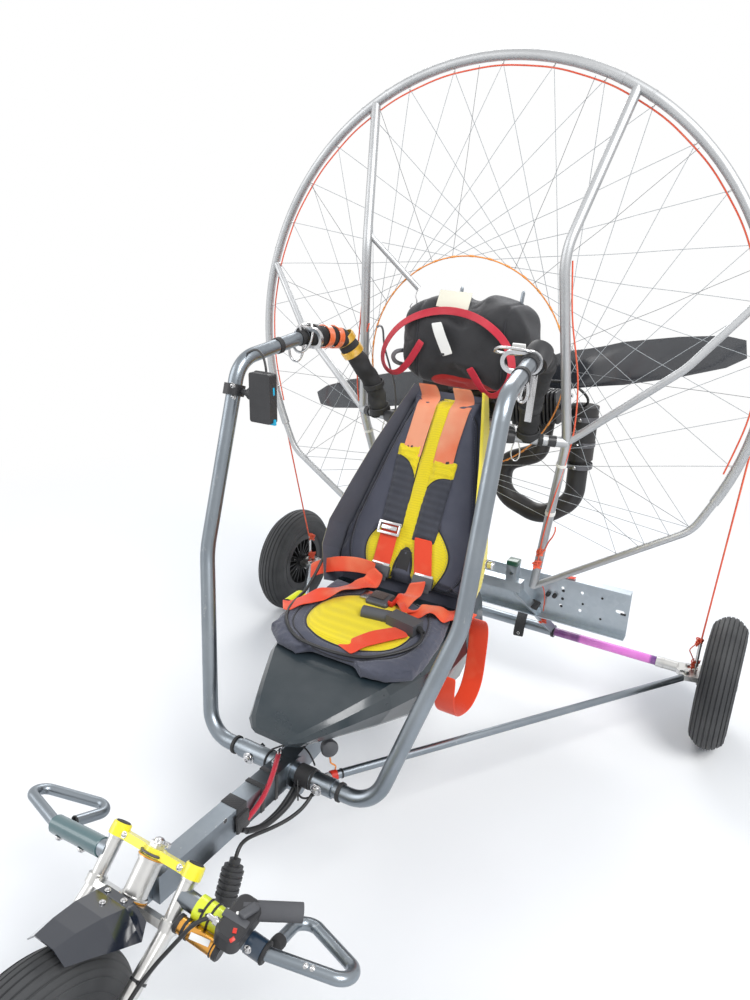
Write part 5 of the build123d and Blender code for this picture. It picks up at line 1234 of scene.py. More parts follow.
# %% Loop, tag, card and seams
for name, seam_x in zip(("left", "right"), BAG_SEAMS):
    line = [on_bag(seam_x, z, 0.001) for z in (1.06, 1.09, 1.12, 1.15, 1.18, 1.2, 1.22)]
    cable(f"bag_zip_{name}", line, 0.0022, piping)
LOOP = [(-0.096, 1.152), (-0.128, 1.096), (-0.17, 1.05), (-0.206, 1.052), (-0.226, 1.082),
    (-0.22, 1.124), (-0.188, 1.172), (-0.14, 1.206), (-0.082, 1.228), (-0.024, 1.236), (0.04, 1.228),
    (0.098, 1.206), (0.142, 1.166), (0.164, 1.112), (0.158, 1.062), (0.128, 1.024), (0.094, 1.024),
    (0.066, 1.058), (0.046, 1.094)]
route = []
for index, (x, z) in enumerate(LOOP):
    before, after = LOOP[max(0, index - 1)], LOOP[min(len(LOOP) - 1, index + 1)]
    run = Vector((after[0] - before[0], 0, after[1] - before[1])).normalized()
    off = 0.01 + 0.006 * (index % 2)
    flare = run.cross(Vector((0, 1, 0))) * 0.9 + Vector((0, 0.5, 0))
    flat_on = index in (0, 1, len(LOOP) - 2, len(LOOP) - 1) or 8 <= index <= 10
    side = run.cross(Vector((0, 1, 0))) if flat_on else flare
    spot = on_bag(x, z, off) if abs(x) < 0.15 and 1.05 < z < 1.22 else Vector((x, 0.549, z))
    route.append((spot, side))
strap("bag_loop", route, 0.02, webbing_red, 0.003)
TAG = ((-0.052, 1.204, 0.02, 0.2), (-0.04, 1.176, 0.02, 0.3), (-0.026, 1.146, 0.019, 0.35),
    (-0.014, 1.12, 0.016, 0.35))
strap("bag_tag", [(on_bag(x, z, lift), (1, 0, lean)) for x, z, lift, lean in TAG], 0.03, white_card,
    0.001)
group = bmesh.new()
card_at = landed(bag_tree, Vector((-0.026, 0.45, 1.38)), Vector((0, 0.7, -0.7)))[0]
add_block(group, (0.09, 0.048, 0.0022), card_at + Vector((0, -0.01, 0.016)), (0.1, -0.85, 0.5), 0,
    -0.05)
for x in (-0.06, 0.118):
    add_turned(group, [(0, 0.0), (0, 0.005), (0.052, 0.005), (0.058, 0.002), (0.058, 0)],
        (x, 0.688, 1.228), (0.1, 0, 1), 1)
add_block(group, (0.012, 0.006, 0.016), on_bag(-0.03, 1.122, 0.01), (0, -1, 0), 2, edge=0.15)
finished("bag_card", group, (cream_card, frame_tube, black_plastic))
print("bag trimmed")

# %% [markdown]
# ## Hang arms and hoop tips
# The arms that carry the wing's webbing are padded with black foam. Reflective bands are
# wrapped round them, and a cluster of links hangs at each hoop tip.

# %% Foam arms
ARM_AXIS = [Vector(point) for point in ((0.298, 0.283, 1.171), (0.285, 0.442, 1.152),
    (0.23, 0.516, 1.02), (0.221, 0.549, 0.925))]


def mirrored(point, side):
    """The same point on the pilot's left (1) or right (-1)."""
    return Vector((point[0] * side, point[1], point[2]))


def along_line(points, distance):
    """A place at a distance along a line of points, and the direction there."""
    for first, last in zip(points, points[1:]):
        length = (last - first).length
        if distance <= length:
            return first + (last - first) * distance / length, (last - first).normalized()
        distance -= length
    return points[-1], (points[-1] - points[-2]).normalized()


arm_mesh = blown_up(even_copy("hang_arms", 0.0068, 0.002), 0.005, 2.5)
with opened(arm_mesh) as shape:
    for vert in shape.verts:
        x, y, z = vert.co
        vert.co += vert.normal * (0.0016 * sin(y * 120 - z * 70) + 0.0012 * cos(z * 190 + x * 60))
cushion("foam_arms", "hang_arms", arm_mesh, arm_foam)

band_orange = plain_finish("band_orange", (0.8, 0.16, 0.05), 0.3, Coat_Weight=0.5)
band_gold = plain_finish("band_gold", (0.72, 0.42, 0.04), 0.26, metallic=0.4, Coat_Weight=0.6)
for band in (band_orange, band_gold):
    tint(band, noise(band, 60, detail=6), 0.5, 0.75, 0.4, (0.86, 0.66, 0.5))
    gloss_from(band, noise(band, 80), 0.22, 0.46)
group = bmesh.new()
for distance, wide, finish in ((0.078, 0.02, 0), (0.12, 0.02, 0), (0.166, 0.02, 1), (0.206, 0.02, 1)):
    place, run = along_line([mirrored(point, -1) for point in ARM_AXIS], distance)
    add_ring(group, place, run, 0.0275, 0.0032, wide, finish, 36)
for side in (-1, 1):
    for distance, wide in ((0.03, 0.014), (0.322, 0.014), (0.4, 0.018)):
        place, run = along_line([mirrored(point, side) for point in ARM_AXIS], distance)
        add_ring(group, place, run, 0.0268, 0.0036, wide, 2, 36)
finished("arm_bands", group, (band_orange, band_gold, rubber))
print("arms padded", len(arm_mesh.polygons))

# %% Caps and rings at the hoop tips
group = bmesh.new()
HOOP = [Vector(point) for point in ((0.22, -0.209, 0.312), (0.33, -0.074, 0.702), (0.328, 0.063, 1.136),
    (0.298, 0.283, 1.171))]
for side in (-1, 1):
    line = [mirrored(point, side) for point in HOOP]
    run = (line[3] - line[2]).normalized()
    add_ring(group, line[3] - run * 0.096, run, 0.0172, 0.0026, 0.014, 0, 36)
    add_ring(group, line[3] - run * 0.014, run, 0.0172, 0.003, 0.022, 0, 36)
    add_ring(group, (0.142 * side, -0.209, 0.312), (side, 0, 0), 0.0172, 0.0038, 0.008, 0, 36)
    stub, run = mirrored((0.25, 0.563, 0.9255), side), Vector((0.136 * side, 0.068, -0.011))
    add_ring(group, stub, run, 0.0138, 0.0026, 0.012, 0, 30)
    add_ring(group, stub + run * 0.2, run, 0.0138, 0.0012, 0.02, 1, 30)
    add_turned(group, [(0, 0), (0, 0.017), (0.012, 0.0185), (0.034, 0.0185), (0.04, 0.014), (0.04, 0)],
        mirrored((0.19, 0.534, 0.93), side), -run.normalized(), 1, 28)
add_turned(group, [(-0.02, 0.0), (-0.02, 0.029), (0.008, 0.0315), (0.026, 0.028), (0.034, 0.016),
    (0.036, 0)], (0.3, 0.318, 1.176), (0.02, 0.75, 0.55), 1, 28)
finished("tip_rings", group, (rubber, black_plastic))
print("hoop tips ringed")

# %% Plates and links at the hoop tips
group = bmesh.new()
add_block(group, (0.026, 0.005, 0.086), (0.272, 0.318, 1.118), (0.15, 0.1, 1), 0)
add_block(group, (0.016, 0.005, 0.12), (0.291, 0.33, 1.088), (0.02, 0.08, 1), 0, 0.2)
add_block(group, (0.03, 0.006, 0.02), (0.264, 0.296, 1.196), (0, -0.4, 1), 1)
for z in (1.154, 1.084):
    add_hex(group, (0.272, 0.312, z), (0, -1, 0.1), 0.011, 0.006, 0)
finished("tip_plates", group, (bright_steel, white_card))
LINKS = {"link_right_a": ((-0.3, 0.262, 1.196), (-0.326, 0.256, 1.17), (-0.33, 0.256, 1.12),
    (-0.312, 0.262, 1.104), (-0.294, 0.266, 1.122), (-0.29, 0.266, 1.168), (-0.3, 0.262, 1.196)),
    "link_right_b": ((-0.282, 0.286, 1.206), (-0.302, 0.258, 1.204), (-0.318, 0.25, 1.16),
    (-0.3, 0.25, 1.13), (-0.276, 0.262, 1.14), (-0.268, 0.28, 1.18), (-0.282, 0.286, 1.206)),
    "link_left_a": ((0.214, 0.282, 1.186), (0.222, 0.262, 1.198), (0.262, 0.256, 1.2),
    (0.3, 0.262, 1.196), (0.302, 0.284, 1.19), (0.262, 0.296, 1.182), (0.224, 0.294, 1.18),
    (0.214, 0.282, 1.186)), "link_left_b": ((0.286, 0.262, 1.158), (0.304, 0.256, 1.14),
    (0.306, 0.262, 1.096), (0.29, 0.268, 1.08), (0.274, 0.268, 1.098), (0.276, 0.264, 1.14),
    (0.286, 0.262, 1.158))}
for name, points in LINKS.items():
    cable(name, points, 0.0034, bright_steel)
for side, word in ((-1, "right"), (1, "left")):
    cable(f"stub_pin_{word}", [mirrored(point, side) for point in ((0.192, 0.532, 0.918),
        (0.186, 0.524, 0.896), (0.19, 0.526, 0.872), (0.2, 0.53, 0.866), (0.208, 0.534, 0.876),
        (0.208, 0.536, 0.9), (0.2, 0.536, 0.92))], 0.0018, bright_steel)
print("hoop tips fitted")

# %% Instrument holder
# A clamp with two bolts, a ball joint and a case with two blue catches, on the pilot's right.
group = bmesh.new()
add_block(group, (0.026, 0.006, 0.018), (-0.205, 0.018, 1.086), (0, -0.05, 1), 0, edge=0.25)
add_block(group, (0.022, 0.006, 0.014), (-0.2, 0.018, 1.016), (0, -0.05, 1), 0, edge=0.25)
add_block(group, (0.044, 0.003, 0.078), (-0.222, 0.0155, 1.066), (0, 0, 1), 1)
add_block(group, (0.05, 0.01, 0.01), (-0.222, 0.02, 1.122), (0, 0, 1), 2)
for z in (1.056, 1.082):
    add_button_bolt(group, (-0.318, 0.026, z), (0.1, -1, 0), 0.011, 3)
add_turned(group, [(-0.016, 0), (-0.014, 0.009), (-0.006, 0.0145), (0.004, 0.015), (0.012, 0.01),
    (0.014, 0)], (-0.268, 0.034, 1.069), (1, 0, 0), 2, 24)
finished("device_details", group, (cyan_plastic, seat_black, black_plastic, bright_steel))
cable("device_cable", [(-0.222, 0.03, 1.122), (-0.228, 0.034, 1.15), (-0.252, 0.044, 1.168),
    (-0.286, 0.062, 1.164), (-0.314, 0.076, 1.15)], 0.0028, cable_black)
print("instrument holder dressed")

# %% [markdown]
# ## Safety net
# A light net keeps lines and hands out of the propeller. A red cord runs inside the ring, a
# second one makes a circle behind the bag, and thin grey cords cross between the two.

# %% Net
RING_MIDDLE, RING_OPEN = Vector((0, 0.695, 1.101)), -24
INNER_MIDDLE, INNER_RADIUS, OUTER_RADIUS = Vector((0, 0.6, 1.085)), 0.285, 0.7235
LEG_FROM, LEG_TO = Vector((0.639, 0.695, 0.716)), Vector((0.231, 0.713, 0.431))


def rim_point(angle, inset=0.0):
    """Where a net cord is tied on the ring, or below it on one of the legs."""
    turn = radians(angle)
    if sin(turn) > sin(radians(RING_OPEN)):
        return RING_MIDDLE + Vector((cos(turn), 0, sin(turn))) * (OUTER_RADIUS - inset)
    side = 1 if cos(turn) > 0 else -1
    share = min(1.0, (0.914 - abs(cos(turn))) / 0.86)
    foot = LEG_FROM + (LEG_TO - LEG_FROM) * share
    return Vector((foot.x * side, foot.y, foot.z + 0.012))


def inner_point(angle):
    """A point on the inner circle of cord."""
    turn = radians(angle)
    return INNER_MIDDLE + Vector((cos(turn), 0, sin(turn))) * INNER_RADIUS


def many_lines(name, lines, radius, finish):
    """Several cords in one curve, whose points carry the thickness, so its box stays right."""
    made = cable(name, lines[0], radius, finish, round_by=1)
    for points in lines[1:]:
        add_line(made.data, points)
    made.data.bevel_depth = 1.0
    for line in made.data.splines:
        for point in line.points:
            point.radius = radius
    return made


def crossing(angle, lean):
    """One net cord: from the rim to the inner circle, a little slack."""
    first, last = rim_point(angle), inner_point(angle + lean)
    middle = first.lerp(last, 0.5) + Vector((0, 0.004, -0.004))
    return [first, first.lerp(last, 0.25), middle, first.lerp(last, 0.75), last]


ANGLES = [-58 + 10.5 * step for step in range(29)]
net_lines = [crossing(angle, lean) for angle in ANGLES for lean in (52, -52)]
many_lines("net", net_lines, 0.0008, net_cord)
radial = [crossing(angle, 6 * (-1) ** step) for step, angle in enumerate(range(-50, 234, 24))]
many_lines("net_spokes", radial, 0.0007, net_dark)
ring_angles = [-66 + 6 * step for step in range(53)]
outer = [rim_point(angle, 0.004 + 0.002 * (step % 2)) for step, angle in enumerate(ring_angles)
    if -24 < angle < 204]
cable("net_outer_cord", outer, 0.0021, red_cord, round_by=2)
inner = [inner_point(angle) for angle in range(0, 366, 6)]
cable("net_inner_cord", inner, 0.0019, orange_cord, round_by=2)
group = bmesh.new()
for step, angle in enumerate(ANGLES):
    if -24 < angle < 204:
        spot = rim_point(angle)
        out = (spot - RING_MIDDLE).normalized()
        add_turned(group, [(-0.006, 0.0015), (-0.004, 0.003), (0.003, 0.003), (0.006, 0.0015)],
            spot + out * 0.003, out, 0, 10)
    for lean in (52, -52):
        spot = inner_point(angle + lean)
        run = (spot - INNER_MIDDLE).cross(Vector((0, 1, 0)))
        add_turned(group, [(-0.005, 0.001), (-0.003, 0.0028), (0.003, 0.0028), (0.005, 0.001)], spot,
            run, 1, 8)
for angle in (17.4, 162.6, 61.8, 118.2):
    turn = radians(angle)
    for lean in (-3.2, 3.2):
        spot = RING_MIDDLE + Vector((cos(turn + radians(lean)), 0, sin(turn + radians(lean)))) * 0.74
        add_ring(group, spot, Vector((-sin(turn), 0, cos(turn))), 0.0122, 0.001, 0.008, 2, 26)
finished("net_knots", group, (machined, orange_cord, cage_tube))
print(len(net_lines) + len(radial), "net cords")

# %% [markdown]
# ## Front fork, foot bars and controls
# The head tube leans back 45 degrees, so its fittings stand on that axis. The foot bars turn
# with the fork. The pilot's left bar carries the throttle housing, a lime cover with two
# cable ties, and a small gold cylinder with a blank label.

# %% Fork fittings
HEAD_MIDDLE, HEAD_UP = Vector((0, -0.617, 0.371)), Vector((0, 0.7071, 0.7071))
HEAD_AHEAD = Vector((0, -0.7071, 0.7071))
FORK_HALF = 0.088


def on_head(distance, x=0.0, ahead=0.0):
    """A point at a distance up the steering axis, moved sideways and ahead."""
    return HEAD_MIDDLE + HEAD_UP * distance + Vector((x, 0, 0)) + HEAD_AHEAD * ahead


group = bmesh.new()
for x in (-FORK_HALF, FORK_HALF):
    add_turned(group, [(-0.009, 0), (-0.009, 0.0178), (-0.001, 0.0174), (0.0012, 0.0154), (0.0014, 0)],
        on_head(0.058, x), HEAD_UP, 4, 36)
    add_turned(group, [(0.001, 0), (0.001, 0.0138), (0.0024, 0.013), (0.0028, 0.006), (0.0024, 0)],
        on_head(0.058, x), HEAD_UP, 0, 30)
    add_ring(group, on_head(-0.037, x), HEAD_UP, 0.0136, 0.0042, 0.012, 1, 30)
    add_ring(group, on_head(0.034, x), HEAD_UP, 0.0136, 0.0016, 0.005, 1, 30)
    add_button_bolt(group, on_head(0.044, x * 0.76, 0.0112), HEAD_AHEAD, 0.009, 2)
    add_hex(group, on_head(-0.043, x * 0.36, 0.004), HEAD_UP, 0.012, 0.006, 2)
add_turned(group, [(0, 0), (0, 0.014), (0.002, 0.014), (0.002, 0.01), (0.009, 0.0092), (0.012, 0.005),
    (0.0125, 0)], on_head(0.056), HEAD_UP, 2, 24)
add_hex(group, on_head(0.053, 0.0, -0.026), HEAD_UP, 0.013, 0.008, 2)
add_ring(group, on_head(0.0405), HEAD_UP, 0.013, 0.012, 0.004, 3, 36)
finished("fork_fittings", group, (rubber, machined, bright_steel, dark_steel, yellow_paint),
    "steering")
group = bmesh.new()
for distance in (-0.0345, 0.0345):
    add_ring(group, on_head(distance), HEAD_UP, 0.0215, 0.0046, 0.003, 0, 40)
finished("head_rings", group, gold_alloy)

# %% Foot bar sleeves
SLEEVE_ROOT, SLEEVE_END = Vector((0.088, -0.611, 0.376)), Vector((0.255, -0.6, 0.343))
SLEEVE_RUN = (SLEEVE_END - SLEEVE_ROOT).normalized()
BAR_END, BAR_BEFORE = Vector((0.249, -0.565, 0.323)), Vector((0.238, -0.472, 0.288))


def on_sleeve(distance, side=1):
    """A point along a foot bar's sleeve from the fork leg, and the way it runs."""
    return mirrored(SLEEVE_ROOT + SLEEVE_RUN * distance, side), mirrored(SLEEVE_RUN, side)


group = bmesh.new()
place, run = on_sleeve(0.094, -1)
add_ring(group, place, run, 0.0158, 0.0022, 0.148, 0, 40)
place, run = on_sleeve(0.168, -1)
add_ring(group, place, run, 0.0112, 0.0062, 0.0016, 1, 36)
for distance in (0.07, 0.142):
    place, run = on_sleeve(distance, -1)
    add_button_bolt(group, place + Vector((0, -0.0144, -0.0106)), (0, -0.8, -0.6), 0.012, 2)
place, run = on_sleeve(0.151)
add_ring(group, place, run, 0.0158, 0.0022, 0.03, 3, 40)
place, run = on_sleeve(0.169)
add_ring(group, place, run, 0.0112, 0.0078, 0.007, 1, 36)
add_button_bolt(group, (0.232, -0.6172, 0.3555), (0.1, -0.9, 0.4), 0.01, 2)
for x in (0.322, 0.333):
    share = (x - 0.255) / 0.177
    add_button_bolt(group, (x, -0.6 + 0.048 * share - 0.0046, 0.343 - 0.017 * share + 0.01),
        (0, -0.4, 0.9), 0.007, 2)
tip_run = (BAR_END - BAR_BEFORE).normalized()
add_turned(group, [(-0.01, 0.0112), (-0.01, 0.0126), (0.002, 0.0128), (0.007, 0.0108), (0.01, 0.006),
    (0.011, 0)], BAR_END, tip_run, 1, 24)
tip_run = mirrored(tip_run, -1)
add_ring(group, mirrored(BAR_END, -1), tip_run, 0.0088, 0.0026, 0.003, 1, 28)
add_turned(group, [(-0.004, 0.0092), (-0.004, 0)], mirrored(BAR_END, -1), tip_run, 1, 20)
finished("sleeve_fittings", group, (teal_sleeve, rubber, bright_steel, navy_sleeve),
    "steering")
print("foot bars fitted")

# %% Throttle, cover and gold cylinder
group = bmesh.new()
for distance, twist in ((0.052, 0.3), (0.066, 0.5)):
    place, run = on_sleeve(distance)
    add_ring(group, place, run, 0.0211, 0.0016, 0.0042, 0, 36)
    add_block(group, (0.007, 0.005, 0.006), place + Vector((0, -0.014, 0.0185)), (0, -0.6, 0.8), 0,
        twist, edge=0.2)
GOLD_MIDDLE = Vector((0.1495, -0.6405, 0.3525))
for distance, wide, finish in ((-0.0395, 0.007, 0), (0.0395, 0.008, 0), (-0.026, 0.005, 0),
        (-0.018, 0.004, 0), (0.031, 0.002, 0)):
    add_ring(group, GOLD_MIDDLE + SLEEVE_RUN * distance, SLEEVE_RUN, 0.0139, 0.0016, wide, finish, 36)
for distance in (-0.0435, 0.0435):
    add_turned(group, [(0, 0.0138), (0.0016, 0.013), (0.0016, 0)], GOLD_MIDDLE + SLEEVE_RUN * distance,
        SLEEVE_RUN * (1 if distance > 0 else -1), 0, 28)
label_out = Vector((0.16, -0.6, 0.78)).normalized()
add_block(group, (0.036, 0.01, 0.0012), GOLD_MIDDLE + SLEEVE_RUN * 0.008 + label_out * 0.0141,
    label_out, 1, -0.1)
add_block(group, (0.0085, 0.0065, 0.0016), (0.2205, -0.632, 0.4034), (0.2, 0, 1), 2, 0.5)
add_block(group, (0.0085, 0.006, 0.0016), (0.226, -0.6445, 0.4012), (0.4, -0.4, 0.8), 2, 0.4)
add_turned(group, [(-0.001, 0.003), (0.0012, 0.0028), (0.0014, 0)], (0.205, -0.607, 0.4052),
    (0.2, 0, 1), 1, 16)
add_block(group, (0.034, 0.016, 0.01), (0.218, -0.594, 0.4055), (0.2, 0.05, 1), 3, -0.5, edge=0.45,
    steps=3)
add_block(group, (0.014, 0.046, 0.005), (0.208, -0.615, 0.4035), (0.2, 0, 1), 3, 0.12, edge=0.4)
add_turned(group, [(0, 0.005), (0.003, 0.0066), (0.011, 0.0066), (0.012, 0.0048), (0.022, 0.0048),
    (0.024, 0.004)], (0.188, -0.63, 0.3955), -SLEEVE_RUN, 4, 20)
add_ring(group, (0.179, -0.6306, 0.3973), SLEEVE_RUN, 0.0062, 0.001, 0.004, 4, 6)
finished("bar_controls", group, (black_plastic, white_card, red_plastic, grey_plastic, bright_steel),
    "steering")
group = bmesh.new()
LEG_TOP, LEG_FOOT = on_head(-0.049, FORK_HALF), Vector((FORK_HALF, -0.868, 0.2))
leg_run = (LEG_FOOT - LEG_TOP).normalized()
for share in (0.3, 0.82):
    place = LEG_TOP.lerp(LEG_FOOT, share)
    add_ring(group, place, leg_run, 0.0137, 0.0013, 0.0045, 0, 30)
    add_ring(group, place + Vector((0.0113, -0.0072, 0.0114)), leg_run, 0.0037, 0.0013, 0.006, 0, 18)
finished("lead_ties", group, black_plastic, "steering")
group = bmesh.new()
for x, y, z in ((0.019, -0.674, 0.3845), (-0.019, -0.674, 0.3845), (0.0, -0.7, 0.3945)):
    add_button_bolt(group, (x, y, z), (0, 0.25, 0.97), 0.008, 0)
finished("mudguard_bolts", group, bright_steel, "steering")
print("controls dressed")

# %% [markdown]
# ## Keel beam and cross tube
# The beam is wrapped by two black straps that hold a bundle of leads. The cross tube has
# domed bolts, a rubber boot, and a red strap that runs from a small hook down to the beam.

# %% Beam fittings
def on_beam(y):
    """The beam's middle line ahead of its knee."""
    return Vector((0, y, 0.336 + (y + 0.6) * (0.312 - 0.336) / 0.391))


BEAM_RUN = Vector((0, 0.391, -0.024)).normalized()
group = bmesh.new()
for y, wide in ((-0.384, 0.03), (-0.318, 0.012), (-0.272, 0.01)):
    add_block(group, (0.0436, 0.0636, wide), on_beam(y), BEAM_RUN, 0, edge=0.06)
add_block(group, (0.006, 0.036, 0.04), (0.0245, -0.386, 0.318), (0, 0, 1), 0, edge=0.25)
add_turned(group, [(0.0003, 0.005), (0.0006, 0)], (0.0198, -0.43, 0.352), (1, 0, 0), 1, 20)
add_block(group, (0.0398, 0.0598, 0.003), on_beam(-0.6), -BEAM_RUN, 6, edge=0.1)
add_block(group, (0.006, 0.034, 0.034), (0, -0.61, 0.324), -BEAM_RUN, 6, edge=0.1)
add_ring(group, (0.0199, -0.43, 0.352), (1, 0, 0), 0.0048, 0.0008, 0.001, 2, 20)
for x in (-0.09, 0.093):
    add_button_bolt(group, (x, -0.2297, 0.3115), (0, -1, 0.02), 0.021, 2)
    add_hex(group, (x, -0.1883, 0.3115), (0, 1, 0), 0.017, 0.008, 2)
for x, thick, wide, finish in ((0.052, 0.0026, 0.034, 3), (0.074, 0.0016, 0.005, 0),
        (-0.046, 0.0016, 0.005, 0)):
    add_ring(group, (x, -0.209, 0.312), (1, 0, 0), 0.0212, thick, wide, finish, 40)
add_ring(group, (-0.006, -0.226, 0.362), (0.9, 0.2, 0.1), 0.007, 0.0022, 0.0024, 2, 24)
add_block(group, (0.014, 0.02, 0.006), (-0.006, -0.236, 0.3475), (0, 0, 1), 2)
ROD_RUN = Vector((0.539, 0.841, -0.046))
for side in (-1, 1):
    place = mirrored(Vector((0.02, -0.198, 0.263)) + ROD_RUN * 0.088, side)
    add_ring(group, place, mirrored(ROD_RUN, side), 0.0102, 0.0022, 0.016, 4, 28)
    add_ring(group, place + mirrored(ROD_RUN, side) * 0.02, mirrored(ROD_RUN, side), 0.0102, 0.0012,
        0.004, 0, 28)
add_turned(group, [(-0.06, 0.004), (-0.016, 0.004), (-0.014, 0.014), (-0.01, 0.018), (0.004, 0.02),
    (0.01, 0.017), (0.013, 0.008), (0.014, 0)], (0.07, -0.146, 0.352), (0.62, -0.55, 0.25), 5, 24)
finished("beam_fittings", group, (black_cloth, engine_black, bright_steel, rubber, red_plastic,
    grey_plastic, frame_tube))
print("beam and cross tube fitted")

# %% Fixed leads and the red strap
FIXED_LEADS = {"beam_strap_red": (0.0055, webbing_red, ((-0.006, -0.23, 0.358), (0.002, -0.246, 0.358),
    (0.012, -0.268, 0.353), (0.022, -0.296, 0.345), (0.0275, -0.322, 0.334), (0.0275, -0.348, 0.322),
    (0.024, -0.372, 0.312))), "bundle_a": (0.0064, cable_black,
    ((0.04, -0.206, 0.292), (0.046, -0.25, 0.276), (0.04, -0.3, 0.266), (0.034, -0.345, 0.27),
    (0.028, -0.38, 0.29))), "bundle_b": (0.0052, cable_black,
    ((0.03, -0.21, 0.29), (0.034, -0.262, 0.268), (0.03, -0.32, 0.262), (0.028, -0.362, 0.276),
    (0.027, -0.392, 0.302))), "cross_lead": (0.0022, cable_black,
    ((0.032, -0.226, 0.296), (0.052, -0.24, 0.282), (0.076, -0.24, 0.284), (0.092, -0.232, 0.3))),
    "cross_lead_back": (0.002, cable_black, ((-0.06, -0.186, 0.318), (-0.02, -0.17, 0.346),
    (0.03, -0.168, 0.35), (0.062, -0.19, 0.332))), "tie_end": (0.0017, cable_black,
    ((0.046, -0.231, 0.316), (0.056, -0.246, 0.3), (0.062, -0.252, 0.284))),
    "nose_cord": (0.002, orange_cord, ((0.062, -0.14, 0.342), (0.074, -0.146, 0.322),
    (0.066, -0.136, 0.302), (0.076, -0.124, 0.29), (0.068, -0.118, 0.274)))}
for name, (radius, finish, points) in FIXED_LEADS.items():
    cable(name, points, radius, finish)
print(len(FIXED_LEADS), "fixed leads")

# %% [markdown]
# ## Engine
# The engine lies behind the seat, with its cylinder out to the pilot's left. It gets a plug
# with its lead, nuts, a starter cover with slots, clamps on the exhaust, and rubber mounts.

# %% Engine fittings
CRANK = Vector((0.03, 0.735, 0.952))
CYLINDER_RUN = Vector((cos(radians(8)), 0, sin(radians(8))))
HEAD_END = CRANK + CYLINDER_RUN * 0.235
group = bmesh.new()
add_hex(group, HEAD_END, CYLINDER_RUN, 0.017, 0.008, 0)
add_turned(group, [(0.008, 0.0062), (0.012, 0.0058), (0.024, 0.0048), (0.026, 0)], HEAD_END,
    CYLINDER_RUN, 3, 20)
add_turned(group, [(0.014, 0.0062), (0.014, 0.0092), (0.034, 0.0095), (0.042, 0.008), (0.045, 0.004),
    (0.045, 0)], HEAD_END, CYLINDER_RUN, 1, 24)
for turn in (45, 135, 225, 315):
    off = Vector((0, cos(radians(turn)), sin(radians(turn)))) * 0.036
    add_hex(group, HEAD_END + off - CYLINDER_RUN * 0.001, CYLINDER_RUN, 0.011, 0.007, 0)
STARTER = Vector((0.03, 0.666, 0.952))
add_turned(group, [(0, 0.058), (0.003, 0.056), (0.003, 0.046), (0.001, 0.044)], STARTER, (0, -1, 0), 1,
    40)
for step in range(12):
    turn = 2 * pi * step / 12
    add_block(group, (0.006, 0.02, 0.003), STARTER + Vector((cos(turn), 0, sin(turn))) * 0.03,
        (0, -1, 0), 2, turn + pi / 2, edge=0.25)
for step in range(4):
    turn = 2 * pi * (step + 0.5) / 4
    add_hex(group, STARTER + Vector((cos(turn), 0, sin(turn))) * 0.066, (0, -1, 0), 0.009, 0.005, 0)
add_turned(group, [(0, 0.004), (0.004, 0.01), (0.026, 0.01), (0.03, 0.004), (0.03, 0)],
    (0.104, 0.672, 0.918), (0.4, -0.8, -0.3), 1, 20)
for z in (0.915, 0.939, 0.963, 0.987, 1.008):
    add_block(group, (0.086, 0.078, 0.004), (-0.128, 0.742, z), (0, 0, 1), 1)
add_ring(group, (-0.062, 0.735, 0.958), (1, 0, 0.05), 0.0192, 0.0024, 0.008, 0, 32)
finished("engine_fittings", group, (bright_steel, black_plastic, engine_black, white_card))
cable("plug_lead", [HEAD_END + CYLINDER_RUN * 0.043, HEAD_END + Vector((0.06, -0.004, 0.014)),
    (0.316, 0.722, 1.026), (0.27, 0.706, 1.058), (0.2, 0.706, 1.052), (0.13, 0.712, 1.03),
    (0.086, 0.72, 1.0)], 0.0036, cable_black)
cable("fuel_hose", [(-0.128, 0.716, 1.018), (-0.14, 0.69, 1.05), (-0.176, 0.64, 1.06),
    (-0.204, 0.59, 1.072), (-0.206, 0.574, 1.096), (-0.19, 0.584, 1.112), (-0.172, 0.61, 1.108)],
    0.0062, hose_grey)
cable("throttle_lead", [(-0.09, 0.72, 0.975), (-0.11, 0.66, 0.968), (-0.15, 0.6, 0.945),
    (-0.19, 0.552, 0.944), (-0.214, 0.545, 0.935)], 0.003, cable_black)
print("engine fitted")

# %% Drive, mounts and exhaust clamps
group = bmesh.new()
add_hex(group, (0.03, 0.824, 0.952), (0, 1, 0), 0.022, 0.01, 0)
add_hex(group, (0.0, 0.824, 1.01), (0, 1, 0), 0.004, 0.002, 0)
for step in range(4):
    turn = 2 * pi * step / 4 + 0.4
    add_hex(group, (0.03 + 0.028 * cos(turn), 0.824, 0.952 + 0.028 * sin(turn)), (0, 1, 0), 0.009,
        0.006, 0)
for z, turn in ((0.82, 0.1), (0.884, 0.1), (0.956, 0.1)):
    add_ring(group, (0.309, 0.754, z), (0, 0, 1), 0.0371, 0.0018, 0.014, 1, 44)
    add_hex(group, (0.309, 0.715, z), (0, -1, 0), 0.009, 0.006, 0)
add_block(group, (0.06, 0.004, 0.016), (0.3, 0.7, 0.884), (0.2, -1, 0), 1, edge=0.25)
for side in (-1, 1):
    add_ring(group, (0.162 * side, 0.56, 0.931), (0, 1, 0), 0.0127, 0.004, 0.024, 2, 32)
    add_ring(group, (0.162 * side, 0.6, 0.931), (0, 1, 0), 0.0127, 0.0016, 0.006, 3, 32)
for x in (-0.02, 0.08):
    for z in (0.93, 0.974):
        add_turned(group, [(0, 0.013), (0.004, 0.015), (0.012, 0.015), (0.016, 0.013), (0.016, 0)],
            (x, 0.64, z), (0, 1, 0), 2, 24)
finished("drive_fittings", group, (bright_steel, dark_steel, rubber, machined))
group = bmesh.new()
for step in range(6):
    turn = 2 * pi * step / 6
    add_hex(group, (0.031 * cos(turn), 0.9005, 1.01 + 0.031 * sin(turn)), (0, 1, 0), 0.011, 0.007, 0)
add_ring(group, (0, 0.8995, 1.01), (0, 1, 0), 0.014, 0.006, 0.004, 1, 36)
